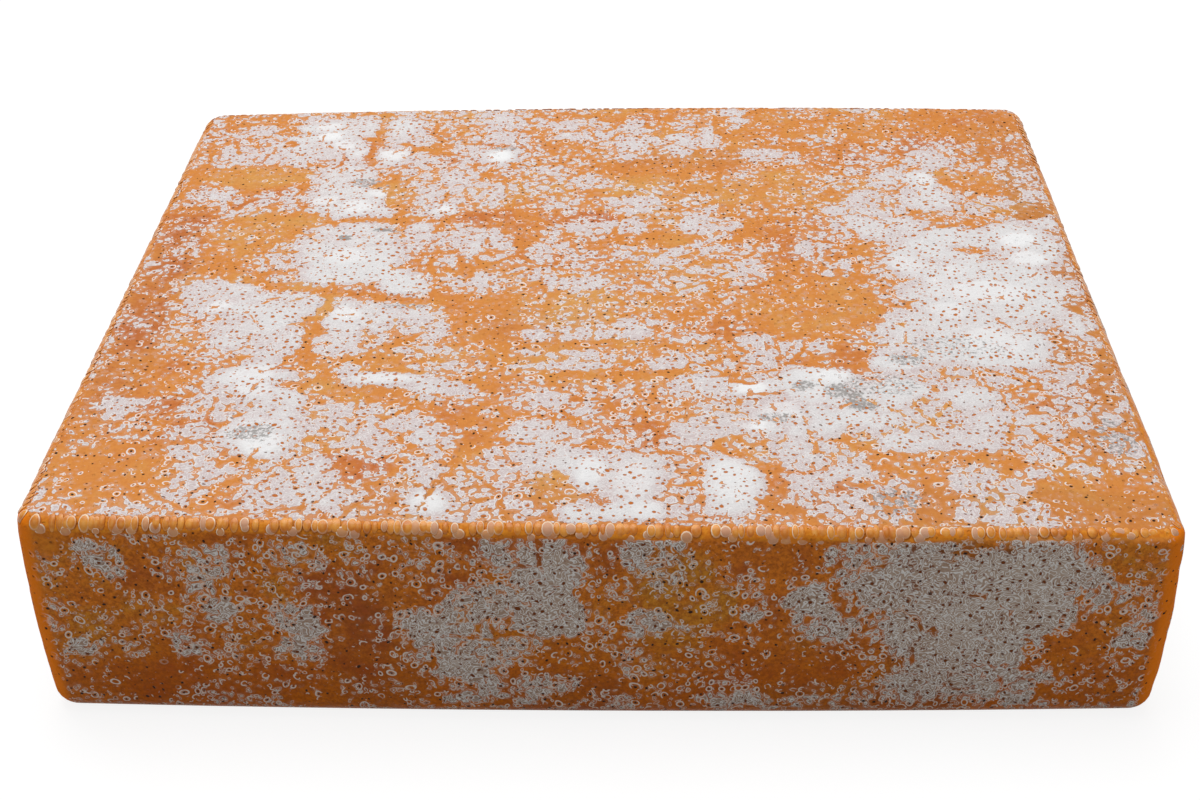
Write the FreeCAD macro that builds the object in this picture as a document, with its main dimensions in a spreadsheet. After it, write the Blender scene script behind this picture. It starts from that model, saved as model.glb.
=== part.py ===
import FreeCAD, Part
import Sketcher
import math
import os

# A whole square raclette: one solid slab of pressed, washed-rind cheese.
#
# The slab gets its shape here as the real one does. The mould gives the square plan with
# rounded corners and with front and back walls that belly out. Ripening lets every wall swell
# at half its height, and leaves each corner of the top at its own height with a slight crown
# between them. Turning and brushing round off the top and bottom rims.
#
# Frame: millimetres, +X to the right along the longer sides, +Y to the back, +Z up. The origin
# is the middle of the flat underside, which rests on the shelf.

NODE = "cheese_block"

# name, value in mm, what it is
SIZES = [
    ("width", 300.0, "left to right, between the side walls at their rims"),
    ("depth", 255.0, "front to back, measured at the corners' rims"),
    ("front_left_height", 65.5, "top above the underside at the front left corner"),
    ("front_right_height", 61.7, "top above the underside at the front right corner"),
    ("back_left_height", 64.0, "top above the underside at the back left corner"),
    ("back_right_height", 65.6, "top above the underside at the back right corner"),
    ("crown", 0.8, "rise of the top's middle above the line from left to right"),
    ("side_belly", 2.0, "how far the front and back walls bow out in plan"),
    ("wall_swell", 1.3, "how far every wall swells out at half its height"),
    ("corner_radius", 7.0, "upright corners, in plan"),
    ("top_rim_radius", 3.6, "rounding of the top rim"),
    ("bottom_rim_radius", 5.8, "rounding of the bottom rim"),
    ("corner_land", 0.2, "least flat plan radius that a rim leaves inside a corner"),
    ("rough_allowance", 1.5, "how far the untrimmed slab stands above its highest corner"),
    ("trim_margin", 8.0, "how far the trimming tool reaches past the slab on every side"),
]

# spreadsheet name, and the side of the middle that the corner is on: right or left, back or front
TOP_CORNERS = [
    ("front_left_height", -1, -1),
    ("front_right_height", 1, -1),
    ("back_left_height", -1, 1),
    ("back_right_height", 1, 1),
]

# Formulas of the sheet's cells that more than one feature uses.
HIGHEST_CORNER = "max({})".format("; ".join(f"Sizes.{name}" for name, _, _ in TOP_CORNERS))
ROUGH_HEIGHT = f"({HIGHEST_CORNER} + Sizes.crown + Sizes.rough_allowance)"
REACH_ACROSS = "(1 + 2 * Sizes.trim_margin / Sizes.width)"
REACH_ALONG = "(1 + 2 * Sizes.trim_margin / Sizes.depth)"
TOOL_HALF_WIDTH = "(Sizes.width / 2 + Sizes.trim_margin)"
TOOL_HALF_DEPTH = "(Sizes.depth / 2 + Sizes.trim_margin)"

# Which point of a piece of geometry a constraint means.
START, END, CENTRE = 1, 2, 3
ORIGIN = -1
VERTICAL_AXIS = -2
QUARTER = math.pi / 2


def make_sheet(doc):
    """Put the driving sizes in a spreadsheet, one named cell each, and return it."""
    sheet = doc.addObject("Spreadsheet::Sheet", "Sizes")
    for row, (name, value, meaning) in enumerate(SIZES, start=1):
        sheet.set(f"A{row}", name)
        sheet.set(f"B{row}", str(value))
        sheet.setAlias(f"B{row}", name)
        sheet.set(f"C{row}", meaning)
    doc.recompute()
    return sheet


def number(item, formula):
    """Return what a formula of the sheet's cells comes to now."""
    return float(item.evalExpression(str(formula)))


def new_sketch(body, name, role, offset):
    """Add a sketch on one of the body's origin planes, moved along its normal by a formula."""
    plane = next(f for f in body.Origin.OriginFeatures if f.Role == role)
    sketch = body.newObject("Sketcher::SketchObject", name)
    sketch.AttachmentSupport = [(plane, "")]
    sketch.MapMode = "FlatFace"
    sketch.setExpression("AttachmentOffset.Base.z", offset)
    return sketch


def dimension(sketch, kind, place, formula):
    """Add one dimension whose value is bound to a formula of the sheet's cells."""
    now = number(sketch, formula)
    index = sketch.addConstraint(Sketcher.Constraint(kind, *place, now))
    sketch.setExpression(f"Constraints[{index}]", formula)


def add_arc(sketch, centre, radius, start, end):
    """Add a circular arc, anticlockwise from one angle to another, and return its index."""
    circle = Part.Circle(FreeCAD.Vector(*centre, 0), FreeCAD.Vector(0, 0, 1), radius)
    return sketch.addGeometry(Part.ArcOfCircle(circle, start, end), False)


def add_line(sketch, start, end):
    """Add a straight edge between two points and return its index."""
    ends = Part.LineSegment(FreeCAD.Vector(*start, 0), FreeCAD.Vector(*end, 0))
    return sketch.addGeometry(ends, False)


def draw_plan(body, name, height, swell):
    """Draw the slab's outline at one height, grown on every side by a swell.

    Four corner arcs are joined by two straight sides and two bowed ones. Every joint is
    tangent, so that each rim can be rounded in one sweep. A bow's radius follows from its
    chord and its belly: (half chord squared + belly squared) / (2 x belly), more than the
    corner's.
    """
    sketch = new_sketch(body, name, "XY_Plane", height)
    radius = number(sketch, f"Sizes.corner_radius + {swell}")
    centre_x = number(sketch, "Sizes.width / 2 - Sizes.corner_radius")
    centre_y = number(sketch, "Sizes.depth / 2 - Sizes.corner_radius")
    belly = number(sketch, "Sizes.side_belly")
    past_corner = (centre_x ** 2 + belly ** 2) / (2 * belly)
    lean = math.asin(centre_x / past_corner)
    bow_y = past_corner - centre_y - belly
    side_x = centre_x + radius
    bow = past_corner + radius

    front = add_arc(sketch, (0, bow_y), bow, -QUARTER - lean, -QUARTER + lean)
    front_right = add_arc(sketch, (centre_x, -centre_y), radius, -QUARTER + lean, 0)
    right = add_line(sketch, (side_x, -centre_y), (side_x, centre_y))
    back_right = add_arc(sketch, (centre_x, centre_y), radius, 0, QUARTER - lean)
    back = add_arc(sketch, (0, -bow_y), bow, QUARTER - lean, QUARTER + lean)
    back_left = add_arc(sketch, (-centre_x, centre_y), radius, QUARTER + lean, 2 * QUARTER)
    left = add_line(sketch, (-side_x, centre_y), (-side_x, -centre_y))
    front_left = add_arc(sketch, (-centre_x, -centre_y), radius, 2 * QUARTER, 3 * QUARTER - lean)

    loop = [front, front_right, right, back_right, back, back_left, left, front_left]
    for before, after in zip(loop, loop[1:] + loop[:1]):
        sketch.addConstraint(Sketcher.Constraint("Tangent", before, END, after, START))

    dimension(sketch, "Radius", (front_right,), f"Sizes.corner_radius + {swell}")
    for corner in (back_right, back_left, front_left):
        sketch.addConstraint(Sketcher.Constraint("Equal", front_right, corner))
    corners = [(front_right, 1, -1), (back_right, 1, 1), (back_left, -1, 1), (front_left, -1, -1)]
    for corner, to_right, to_back in corners:
        place = (ORIGIN, START, corner, CENTRE)
        across = f"{to_right} * (Sizes.width / 2 - Sizes.corner_radius)"
        along = f"{to_back} * (Sizes.depth / 2 - Sizes.corner_radius)"
        dimension(sketch, "DistanceX", place, across)
        dimension(sketch, "DistanceY", place, along)

    for side, to_back in [(front, -1), (back, 1)]:
        reach = f"{to_back} * (Sizes.depth / 2 + Sizes.side_belly + {swell})"
        place = FreeCAD.Vector(0, number(sketch, reach), 0)
        peak = sketch.addGeometry(Part.Point(place), True)
        sketch.addConstraint(Sketcher.Constraint("PointOnObject", peak, START, VERTICAL_AXIS))
        sketch.addConstraint(Sketcher.Constraint("PointOnObject", peak, START, side))
        dimension(sketch, "DistanceY", (ORIGIN, START, peak, START), reach)
    return sketch


def tool_corner_height(to_right, to_back):
    """Return the formula for the top's height at one corner of the trimming tool.

    The tool reaches past the slab, so the plane-like blend of the four corner heights is
    carried on to there, and so is the crown's fall towards the sides.
    """
    shares = []
    for name, right, back in TOP_CORNERS:
        across = f"(1 + {right * to_right} * {REACH_ACROSS}) / 2"
        along = f"(1 + {back * to_back} * {REACH_ALONG}) / 2"
        shares.append(f"Sizes.{name} * {across} * {along}")
    fall = f"Sizes.crown * ({REACH_ACROSS} ^ 2 - 1)"
    return " + ".join(shares) + f" - {fall}"


def draw_trim(body, name, to_back):
    """Draw one end of the trimming tool: everything above the crowned top at that end.

    The lower edge is an arc whose radius follows from its chord and its rise: chord squared
    / (8 x rise) + rise / 2.
    """
    sketch = new_sketch(body, name, "XZ_Plane", f"{-to_back} * {TOOL_HALF_DEPTH}")
    left_height = tool_corner_height(-1, to_back)
    right_height = tool_corner_height(1, to_back)
    ceiling = f"{ROUGH_HEIGHT} + Sizes.trim_margin"
    rise = f"(Sizes.crown * {REACH_ACROSS} ^ 2)"
    chord = f"hypot(2 * {TOOL_HALF_WIDTH}; {right_height} - ({left_height}))"
    crown_radius = f"{chord} ^ 2 / (8 * {rise}) + {rise} / 2"

    side = number(sketch, TOOL_HALF_WIDTH)
    low_left = number(sketch, left_height)
    low_right = number(sketch, right_height)
    high = number(sketch, ceiling)
    radius = number(sketch, crown_radius)
    tilt = math.atan2(low_right - low_left, 2 * side)
    half_turn = math.asin(number(sketch, chord) / 2 / radius)
    drop = radius * math.cos(half_turn)
    centre = (drop * math.sin(tilt), (low_left + low_right) / 2 - drop * math.cos(tilt))
    start = QUARTER + tilt - half_turn

    crown = add_arc(sketch, centre, radius, start, start + 2 * half_turn)
    left = add_line(sketch, (-side, low_left), (-side, high))
    top = add_line(sketch, (-side, high), (side, high))
    right = add_line(sketch, (side, high), (side, low_right))
    loop = [crown, left, top, right]
    for before, after in zip(loop, loop[1:] + loop[:1]):
        sketch.addConstraint(Sketcher.Constraint("Coincident", before, END, after, START))
    sketch.addConstraint(Sketcher.Constraint("Vertical", left))
    sketch.addConstraint(Sketcher.Constraint("Horizontal", top))
    sketch.addConstraint(Sketcher.Constraint("Vertical", right))

    dimension(sketch, "DistanceX", (ORIGIN, START, left, START), f"-{TOOL_HALF_WIDTH}")
    dimension(sketch, "DistanceX", (ORIGIN, START, right, END), TOOL_HALF_WIDTH)
    dimension(sketch, "DistanceY", (ORIGIN, START, left, START), left_height)
    dimension(sketch, "DistanceY", (ORIGIN, START, right, END), right_height)
    dimension(sketch, "DistanceY", (ORIGIN, START, top, END), ceiling)
    dimension(sketch, "Radius", (crown,), crown_radius)
    return sketch


def loft(body, kind, name, sketches, ruled):
    """Loft a solid through the sketches in order and add it to the body or cut it away."""
    feature = body.newObject(kind, name)
    feature.Profile = sketches[0]
    feature.Sections = sketches[1:]
    feature.Ruled = ruled
    feature.Closed = False
    return feature


def rim_edges(shape, above, below):
    """Return the names of the edges that lie wholly between two heights."""
    names = []
    for index, edge in enumerate(shape.Edges, start=1):
        box = edge.BoundBox
        if box.ZMin > above and box.ZMax < below:
            names.append(f"Edge{index}")
    return names


def round_rim(body, name, base, edges, size):
    """Round one rim. A rim can't be rounder than the upright corners that it runs round."""
    feature = body.newObject("PartDesign::Fillet", name)
    feature.Base = (base, edges)
    limit = "Sizes.corner_radius - Sizes.corner_land"
    feature.setExpression("Radius", f"min(Sizes.{size}; {limit})")
    return feature


def make_block(doc):
    """Build the slab: a swelling rough block, trimmed to its uneven top, with rounded rims."""
    body = doc.addObject("PartDesign::Body", NODE)
    body.Label = NODE
    body.Placement = FreeCAD.Placement()

    foot = draw_plan(body, "PlanFoot", "0", "0")
    waist = draw_plan(body, "PlanWaist", f"{ROUGH_HEIGHT} / 2", "Sizes.wall_swell")
    crest = draw_plan(body, "PlanCrest", ROUGH_HEIGHT, "0")
    rough = loft(body, "PartDesign::AdditiveLoft", "RoughBlock", [foot, waist, crest], False)
    doc.recompute()
    rough_volume = rough.Shape.Volume

    front = draw_trim(body, "TrimFront", -1)
    back = draw_trim(body, "TrimBack", 1)
    trimmed = loft(body, "PartDesign::SubtractiveLoft", "TrimTop", [front, back], True)
    doc.recompute()
    trimmed_volume = trimmed.Shape.Volume

    half_height = number(body, f"{ROUGH_HEIGHT} / 2")
    top = rim_edges(trimmed.Shape, half_height, 2 * half_height)
    top_rim = round_rim(body, "TopRim", trimmed, top, "top_rim_radius")
    doc.recompute()
    bottom = rim_edges(top_rim.Shape, -1, 1)
    round_rim(body, "BottomRim", top_rim, bottom, "bottom_rim_radius")
    doc.recompute()

    print(f"rough block {rough_volume / 1e6:.4f} litres, trimmed {trimmed_volume / 1e6:.4f}, "
          f"rims rounded {body.Shape.Volume / 1e6:.4f}")
    if not body.Shape.Volume < trimmed_volume < rough_volume:
        raise RuntimeError("a trim or a rim took nothing away")
    return body


def check(doc, parts):
    """Stop unless every object computed and every sub-part is a valid solid."""
    for item in doc.Objects:
        if "Invalid" in item.State or "Error" in item.State:
            raise RuntimeError(f"{item.Name} failed: {item.State}")
    for part in parts:
        if part.Shape.isNull() or not part.Shape.isValid():
            raise RuntimeError(f"{part.Label} has no valid shape")


def main():
    """Build the document, check it and write one STEP file for each sub-part."""
    doc = FreeCAD.newDocument("Raclette")
    make_sheet(doc)
    parts = [make_block(doc)]
    doc.recompute()
    check(doc, parts)
    os.makedirs("parts", exist_ok=True)
    for part in parts:
        part.Shape.exportStep(f"parts/{part.Label}.step")
        box = part.Shape.optimalBoundingBox()
        print(f"{part.Label}: {box.XLength:.2f} x {box.YLength:.2f} x {box.ZLength:.2f} mm, "
              f"{len(part.Shape.Solids)} solid, {len(part.Shape.Faces)} faces")


main()
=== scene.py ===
# %% [markdown]
# # A whole square raclette cheese
#
# The object is one slab of pressed cheese with a washed rind. The rind is waxy and orange, and
# a dry white bloom of mould grows over it: thick and cottony in some places, in others only
# lace, small rings and flecks. Pores prick it all over, and small beads of rind sit side by
# side along the rims like drops of wax.
#
# The measured solid is loaded first. It fixes the size and the place of all that follows.

# %% Load the measured solid
import math
import bpy
import numpy as np
from mathutils import Matrix, Vector


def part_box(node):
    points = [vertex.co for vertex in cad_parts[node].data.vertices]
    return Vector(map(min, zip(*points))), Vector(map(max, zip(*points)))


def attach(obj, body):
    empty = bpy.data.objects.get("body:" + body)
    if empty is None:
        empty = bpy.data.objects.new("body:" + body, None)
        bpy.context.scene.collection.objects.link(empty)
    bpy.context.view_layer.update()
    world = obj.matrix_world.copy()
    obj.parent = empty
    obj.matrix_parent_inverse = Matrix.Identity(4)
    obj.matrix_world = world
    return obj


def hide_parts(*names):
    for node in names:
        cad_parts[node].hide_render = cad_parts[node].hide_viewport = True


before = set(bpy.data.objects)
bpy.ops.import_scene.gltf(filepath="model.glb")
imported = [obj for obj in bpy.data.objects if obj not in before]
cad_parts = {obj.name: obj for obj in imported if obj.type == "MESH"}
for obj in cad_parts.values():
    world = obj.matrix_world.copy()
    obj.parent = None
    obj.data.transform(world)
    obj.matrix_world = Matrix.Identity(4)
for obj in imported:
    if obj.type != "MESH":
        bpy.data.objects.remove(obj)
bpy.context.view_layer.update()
BLOCK = "cheese_block"
MM = 0.001
low, high = (np.array(corner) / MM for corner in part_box(BLOCK))
print("the solid measures", np.round(high - low, 1), "mm")

# %% [markdown]
# ## The slab's sizes
#
# The skin is drawn again as a fine mesh, because a mould's relief needs more points than the
# solid has. It follows the same shape, so it takes the same sizes: a plan with bowed front and
# back walls, walls that swell at half their height, a top that is a little different in height
# at each corner, and rounded rims. Width and depth are read from the solid.

# %% Name the slab's sizes, in millimetres
BELLY = 2.0
SWELL = 1.3
CORNER = 7.0
TOP_RIM = 3.6
BOTTOM_RIM = 5.8
CROWN = 0.8
FRONT_LEFT, FRONT_RIGHT, BACK_LEFT, BACK_RIGHT = 65.5, 61.7, 64.0, 65.6
SWELL_HEIGHT = 67.9  # where the swell would be back to nothing, a little above the top

half_x = (high[0] - low[0]) / 2 - SWELL
half_y = (high[1] - low[1]) / 2 - SWELL - BELLY
print("half width and depth at the rims:", round(half_x, 1), round(half_y, 1))


# %% [markdown]
# ## Walking round the plan
#
# Each of the four sides runs from the middle of one corner's arc to the middle of the next. It
# is half an arc, a bowed or straight stretch, and half an arc again. Measured in the side's own
# directions, along and out, all four sides use one formula. The outward normal comes with it,
# so that the whole plan can be grown or shrunk by moving along that normal.

# %% Trace one side of the plan
SIDE_DIRECTIONS = [((1, 0), (0, -1)), ((0, 1), (1, 0)), ((-1, 0), (0, 1)), ((0, -1), (-1, 0))]


def trace_side(share, reach, apart, belly):
    """Return the distance along, the distance out and the normal's angle at shares of a side.

    reach is half the distance between the two corner centres and apart is how far they lie
    from the middle of the slab. A bowed side is an arc whose centre lies behind: its radius
    less the corner's is (reach squared + belly squared) / (2 x belly). Distance along an arc
    is radius x sin(angle), distance out is radius x cos(angle) less how far back the centre is.
    """
    past = (reach ** 2 + belly ** 2) / (2 * belly) if belly else 0.0
    lean = math.asin(reach / past) if belly else 0.0
    arc = CORNER * (math.pi / 4 - lean)
    middle = 2 * lean * (past + CORNER) if belly else 2 * reach
    travel = (share - 0.5) * (2 * arc + middle)
    beyond = np.clip(np.abs(travel) - middle / 2, 0, None)
    on_side = np.clip(travel / middle, -0.5, 0.5) * 2
    angle = on_side * lean + np.sign(travel) * beyond / CORNER
    centre_out = apart + belly - past if belly else apart
    side_radius = past + CORNER if belly else CORNER
    flat_along = on_side * reach if not belly else side_radius * np.sin(on_side * lean)
    flat_out = centre_out + side_radius * np.cos(on_side * lean)
    corner_along = np.sign(travel) * reach + CORNER * np.sin(angle)
    corner_out = apart + CORNER * np.cos(angle)
    in_corner = beyond > 0
    along = np.where(in_corner, corner_along, flat_along)
    out = np.where(in_corner, corner_out, flat_out)
    return along, out, angle


def plan_point(side, share):
    """Return points on the plan and their outward normals for one side of the four."""
    across = side % 2 == 0
    reach, apart = (half_x - CORNER, half_y - CORNER) if across else (half_y - CORNER, half_x - CORNER)
    along, out, angle = trace_side(share, reach, apart, BELLY if across else 0.0)
    to_along, to_out = (np.array(d, float) for d in SIDE_DIRECTIONS[side])
    point = along[:, None] * to_along + out[:, None] * to_out
    normal = np.sin(angle)[:, None] * to_along + np.cos(angle)[:, None] * to_out
    return point, normal


# %% Walk all four sides
# How many steps the mesh takes along the front or back, and along the left or right.
ACROSS, ALONG = 214, 182
CUTS = np.cumsum([0, ACROSS, ALONG, ACROSS, ALONG])


def walk_plan():
    """Join the four sides, front first and anticlockwise, into one closed ring."""
    points, normals = [], []
    for side, steps in enumerate((ACROSS, ALONG, ACROSS, ALONG)):
        point, normal = plan_point(side, np.arange(steps) / steps)
        points.append(point)
        normals.append(normal)
    return np.concatenate(points), np.concatenate(normals)


ring, ring_normal = walk_plan()
RING = len(ring)
print("the ring round the slab has", RING, "points")


# %% [markdown]
# ## The skin as one closed sheet
#
# Three fields of quads are joined edge to edge. The wall is the ring carried up a profile:
# bottom rim, swelling wall, top rim. The top is a patch stretched between the ring's four sides
# (a Coons patch), which keeps its quads even right into the corners, where a fan of triangles
# would show. The underside is hidden, so a few shrinking rings are enough there.

# %% Shape of the top and the wall's profile


def top_height(x, y):
    """Height of the top: a straight blend of the four corner heights, plus the crown.

    The crown is CROWN x (1 - (x / half width) squared).
    """
    u, v = x / half_x, y / half_y
    front = FRONT_LEFT * (1 - u) / 2 + FRONT_RIGHT * (1 + u) / 2
    back = BACK_LEFT * (1 - u) / 2 + BACK_RIGHT * (1 + u) / 2
    return front * (1 - v) / 2 + back * (1 + v) / 2 + CROWN * (1 - u ** 2)


def profile(rows_bottom=8, rows_wall=37, rows_top=8):
    """Return each row's outward offset, and its height as a share of wall and a fixed part.

    A rim is a quarter circle: offset = -radius x (1 - cos), height = radius x sin.
    """
    turn = np.linspace(0, math.pi / 2, rows_bottom + 1)
    bottom = [(BOTTOM_RIM * (np.sin(a) - 1), 0.0, BOTTOM_RIM * (1 - np.cos(a))) for a in turn]
    wall = [(0.0, k, 0.0) for k in np.linspace(0, 1, rows_wall + 1)[1:-1]]
    turn = np.linspace(0, math.pi / 2, rows_top + 1)
    top = [(TOP_RIM * (np.cos(a) - 1), 1.0, TOP_RIM * np.sin(a)) for a in turn]
    return np.array(bottom + wall + top)


def wall_points(rows):
    """Carry the ring up the profile: one row of the ring for each of the profile's rows.

    The wall swells outwards by SWELL x 4 k (1 - k), where k is height / SWELL_HEIGHT.
    """
    offset, share, rise = (column[:, None] for column in rows.T)
    rim_height = top_height(*ring.T)[None, :] - TOP_RIM
    height = np.where(share > 0, BOTTOM_RIM + share * (rim_height - BOTTOM_RIM), 0) + rise
    tall = height / SWELL_HEIGHT
    out = offset + SWELL * 4 * tall * (1 - tall)
    flat = ring[None] + out[..., None] * ring_normal[None]
    lift = np.where(share == 1, top_height(flat[..., 0], flat[..., 1]) - TOP_RIM + rise, height)
    return np.dstack([flat, lift])


rows = profile()
wall = wall_points(rows)
print("the wall has", wall.shape[0], "rows of", wall.shape[1], "points")

# %% Stretch the top between the ring's four sides


def four_sides(loop):
    """Cut a closed ring at its corners: front and back from the left, right and left from the front."""
    front, right, back, left = (loop[start:end + 1] for start, end in zip(CUTS, CUTS[1:]))
    return front, right, back[::-1], left[::-1]


def top_patch(edge):
    """Fill the top from its rim: a Coons patch, point = sides blended across both ways.

    P(u, v) = front (1 - v) + back v + left (1 - u) + right u - the same blend of the corners.
    """
    front, right, back, left = four_sides(np.append(edge, edge[:1], 0))
    u = np.linspace(0, 1, ACROSS + 1)[None, :, None]
    v = np.linspace(0, 1, ALONG + 1)[:, None, None]
    sides = front[None] * (1 - v) + back[None] * v + left[:, None] * (1 - u) + right[:, None] * u
    low_row = front[0] * (1 - u) + front[-1] * u
    high_row = back[0] * (1 - u) + back[-1] * u
    return sides - low_row * (1 - v) - high_row * v


top = top_patch(wall[-1, :, :2])
top = np.dstack([top, top_height(top[..., 0], top[..., 1])])
shrink = np.array([0.985, 0.95, 0.88, 0.78, 0.66, 0.52, 0.36, 0.18])
under = wall[0][None] * np.append(np.repeat(shrink[:, None], 2, 1), 0 * shrink[:, None], 1)[:, None]
points = np.concatenate([wall.reshape(-1, 3), top[1:-1, 1:-1].reshape(-1, 3),
                         under.reshape(-1, 3), np.zeros((1, 3))])
print("the skin has", len(points), "points")

# %% Join the three fields into quads


def quads_of(grid):
    """Return the four corners of every cell of a grid of point numbers."""
    return np.stack([grid[:-1, :-1], grid[:-1, 1:], grid[1:, 1:], grid[1:, :-1]], -1).reshape(-1, 4)


def closed(grid):
    """Repeat a grid's first column after its last, so that it meets itself."""
    return np.append(grid, grid[:, :1], 1)


WALL_ROWS = len(rows)
wall_numbers = np.arange(WALL_ROWS * RING).reshape(WALL_ROWS, RING)
top_numbers = np.zeros((ALONG + 1, ACROSS + 1), int)
inner = WALL_ROWS * RING + np.arange((ALONG - 1) * (ACROSS - 1))
top_numbers[1:-1, 1:-1] = inner.reshape(ALONG - 1, ACROSS - 1)
rim_numbers = four_sides(closed(wall_numbers)[-1])
top_numbers[0], top_numbers[:, -1], top_numbers[-1], top_numbers[:, 0] = rim_numbers
under_start = WALL_ROWS * RING + len(inner)
under_numbers = under_start + np.arange(len(shrink) * RING).reshape(-1, RING)
under_numbers = np.concatenate([wall_numbers[:1], under_numbers])
pole = np.full(RING, len(points) - 1)
quads = np.concatenate([quads_of(closed(wall_numbers)), quads_of(top_numbers),
                        quads_of(closed(under_numbers)[::-1])])
fan = np.stack([under_numbers[-1], pole, np.roll(under_numbers[-1], -1)], 1)
print(len(quads), "quads and", len(fan), "triangles at the pole")


# %% [markdown]
# ## Unrolling the skin
#
# The mould's rings and pores lie flat on the skin, so their pattern needs two directions that
# follow it, as a label on a box would. The top simply keeps its own x and y. The walls are
# rolled out in one strip: distance round the slab, and distance up the profile. The strip
# starts at the back left corner, where its two ends meet out of sight.

# %% Give every face corner a place on the flat sheet
ring_steps = np.linalg.norm(np.roll(ring, -1, 0) - ring, axis=1)
ring_way = np.concatenate([[0], np.cumsum(ring_steps)])
RING_LENGTH = ring_way[-1]
WALL_STRIP = 500  # how far the walls' strip lies from the top on the flat sheet


def unroll():
    """Places in mm: (x, y) on the top and underside, (way round, WALL_STRIP + way up) on walls."""
    from_corner = (ring_way[:-1] - ring_way[CUTS[3]]) % RING_LENGTH
    to_corner = from_corner + ring_steps
    climb = np.linalg.norm(np.diff(wall, axis=0), axis=-1).cumsum(axis=0)
    wall_heights = closed(np.concatenate([np.zeros((1, RING)), climb])) + WALL_STRIP
    wall_corners = []
    for way, row, column in ((from_corner, 0, 0), (to_corner, 0, 1), (to_corner, 1, 1), (from_corner, 1, 0)):
        height = wall_heights[row:row + WALL_ROWS - 1, column:column + RING]
        wall_corners.append(np.dstack([np.broadcast_to(way, height.shape), height]))
    wall_sheet = np.stack(wall_corners, 2).reshape(-1, 2)
    rest_sheet = points[quads[len(wall_sheet) // 4:], :2].reshape(-1, 2)
    return np.concatenate([wall_sheet, rest_sheet, points[fan.ravel(), :2]])


sheet = unroll()
print("the walls unroll to", round(float(RING_LENGTH)), "mm")


# %% [markdown]
# ## Unevenness
#
# Real skin is never fair. Everything that varies from place to place starts from one tool: a
# lattice of random numbers, read between its points with a smooth blend. Large lattice steps
# give slow swells, small steps give lumps.

# %% Make smooth randomness
LATTICE = 64  # random numbers each way, after which they repeat
OFF_MIDDLE = 17.3  # so that no lattice point lies on the slab's own middle


def soft_noise(place, step, seed):
    """Smooth random values from -1 to 1 at points in mm, with lumps about one step across.

    Each point reads the eight lattice values round it, weighted by 3 t^2 - 2 t^3 along each
    direction, where t is the share of a step from one lattice point to the next.
    """
    lattice = np.random.default_rng(seed).uniform(-1, 1, (LATTICE,) * 3)
    cell = place / step + OFF_MIDDLE
    start = np.floor(cell).astype(int)
    share = cell - start
    share = share * share * (3 - 2 * share)
    total = np.zeros(place.shape[:-1])
    for corner in np.ndindex(2, 2, 2):
        weight = np.prod(np.where(corner, share, 1 - share), -1)
        total += weight * lattice[tuple(((start + corner) % LATTICE)[..., k] for k in range(3))]
    return total


def layered_noise(place, step, seed, layers=3):
    """Add finer and fainter layers of smooth noise, each half the step and half the strength."""
    parts = [soft_noise(place, step / 2 ** k, seed + k) / 2 ** k for k in range(layers)]
    return sum(parts) / (2 - 0.5 ** (layers - 1))


def smooth(value, start, end):
    """Go from 0 at start to 1 at end along 3 t^2 - 2 t^3."""
    share = np.clip((value - start) / (end - start), 0, 1)
    return share * share * (3 - 2 * share)


# %% Find which way the skin faces


def skin_normals(place, faces, tips):
    """Unit normal at every point: the sum of its faces' normals, each as long as twice its area.

    tips are the triangles round the underside's middle, which faces straight down.
    """
    cross = np.cross(place[faces[:, 2]] - place[faces[:, 0]], place[faces[:, 3]] - place[faces[:, 1]])
    total = np.zeros_like(place)
    for corner in range(4):
        np.add.at(total, faces[:, corner], cross)
    total[tips[:, 1]] = (0, 0, -1)
    return total / np.linalg.norm(total, axis=1, keepdims=True)


normals = skin_normals(points, quads, fan)
x, y, z = points.T
faces_up = smooth(normals[:, 2], 0.80, 0.97)
faces_front = smooth(-normals[:, 1], 0.55, 0.85)
print("share of points that face up:", round(float(faces_up.mean()), 3))

# %% Find the top rim
# Where along the front, from left to right, and how far the skin has turned up there (its
# normal's z) when the rim's bare band starts. On the other sides it starts at RIM_START.
FRONT_RIM = ([-150, -128, -100, 70, 128], [0.04, 0.20, 0.38, 0.36, 0.66])
RIM_START = 0.4
RIM_SOFT = 0.08

tilt = normals[:, 2] + 0.08 * soft_noise(points, 4.5, 7)
lowest = np.where(normals[:, 1] < -0.2, np.interp(x, *FRONT_RIM), RIM_START)
on_rim = smooth(tilt, lowest - RIM_SOFT, lowest + RIM_SOFT)
on_rim = on_rim * (1 - smooth(normals[:, 2], 0.93, 0.985)) * (z > 40)
print("share of points on the top rim:", round(float(on_rim.mean()), 3))

# %% [markdown]
# ## Where the bloom grows
#
# The mould's cover is painted on like strokes of a brush, one over another. A stroke has a
# place, two half lengths and a level: 0 is bare rind, 0.5 is lace, 1 is a full dry coat. The
# strokes are looked up at slightly shifted places, so that none keeps a clean oval edge. Seams
# are strokes along a line: the folds that the cheesecloth pressed into the rind.

# %% Lay strokes over a field


def in_oval(a, b, oval, full, gone):
    """1 inside an oval (centre a, centre b, half size a, half size b), fading to 0 outside.

    Full and gone are where the fade starts and ends, as shares of the half sizes.
    """
    centre_a, centre_b, size_a, size_b = oval
    far = np.sqrt(((a - centre_a) / size_a) ** 2 + ((b - centre_b) / size_b) ** 2)
    return 1 - smooth(far, full, gone)


def to_line(a, b, ends):
    """Distance to the straight line between two ends (a, b, a, b): its nearest point counts."""
    a1, b1, a2, b2 = ends
    da, db = a2 - a1, b2 - b1
    share = np.clip(((a - a1) * da + (b - b1) * db) / (da ** 2 + db ** 2), 0, 1)
    return np.hypot(a - a1 - share * da, b - b1 - share * db)


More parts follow.
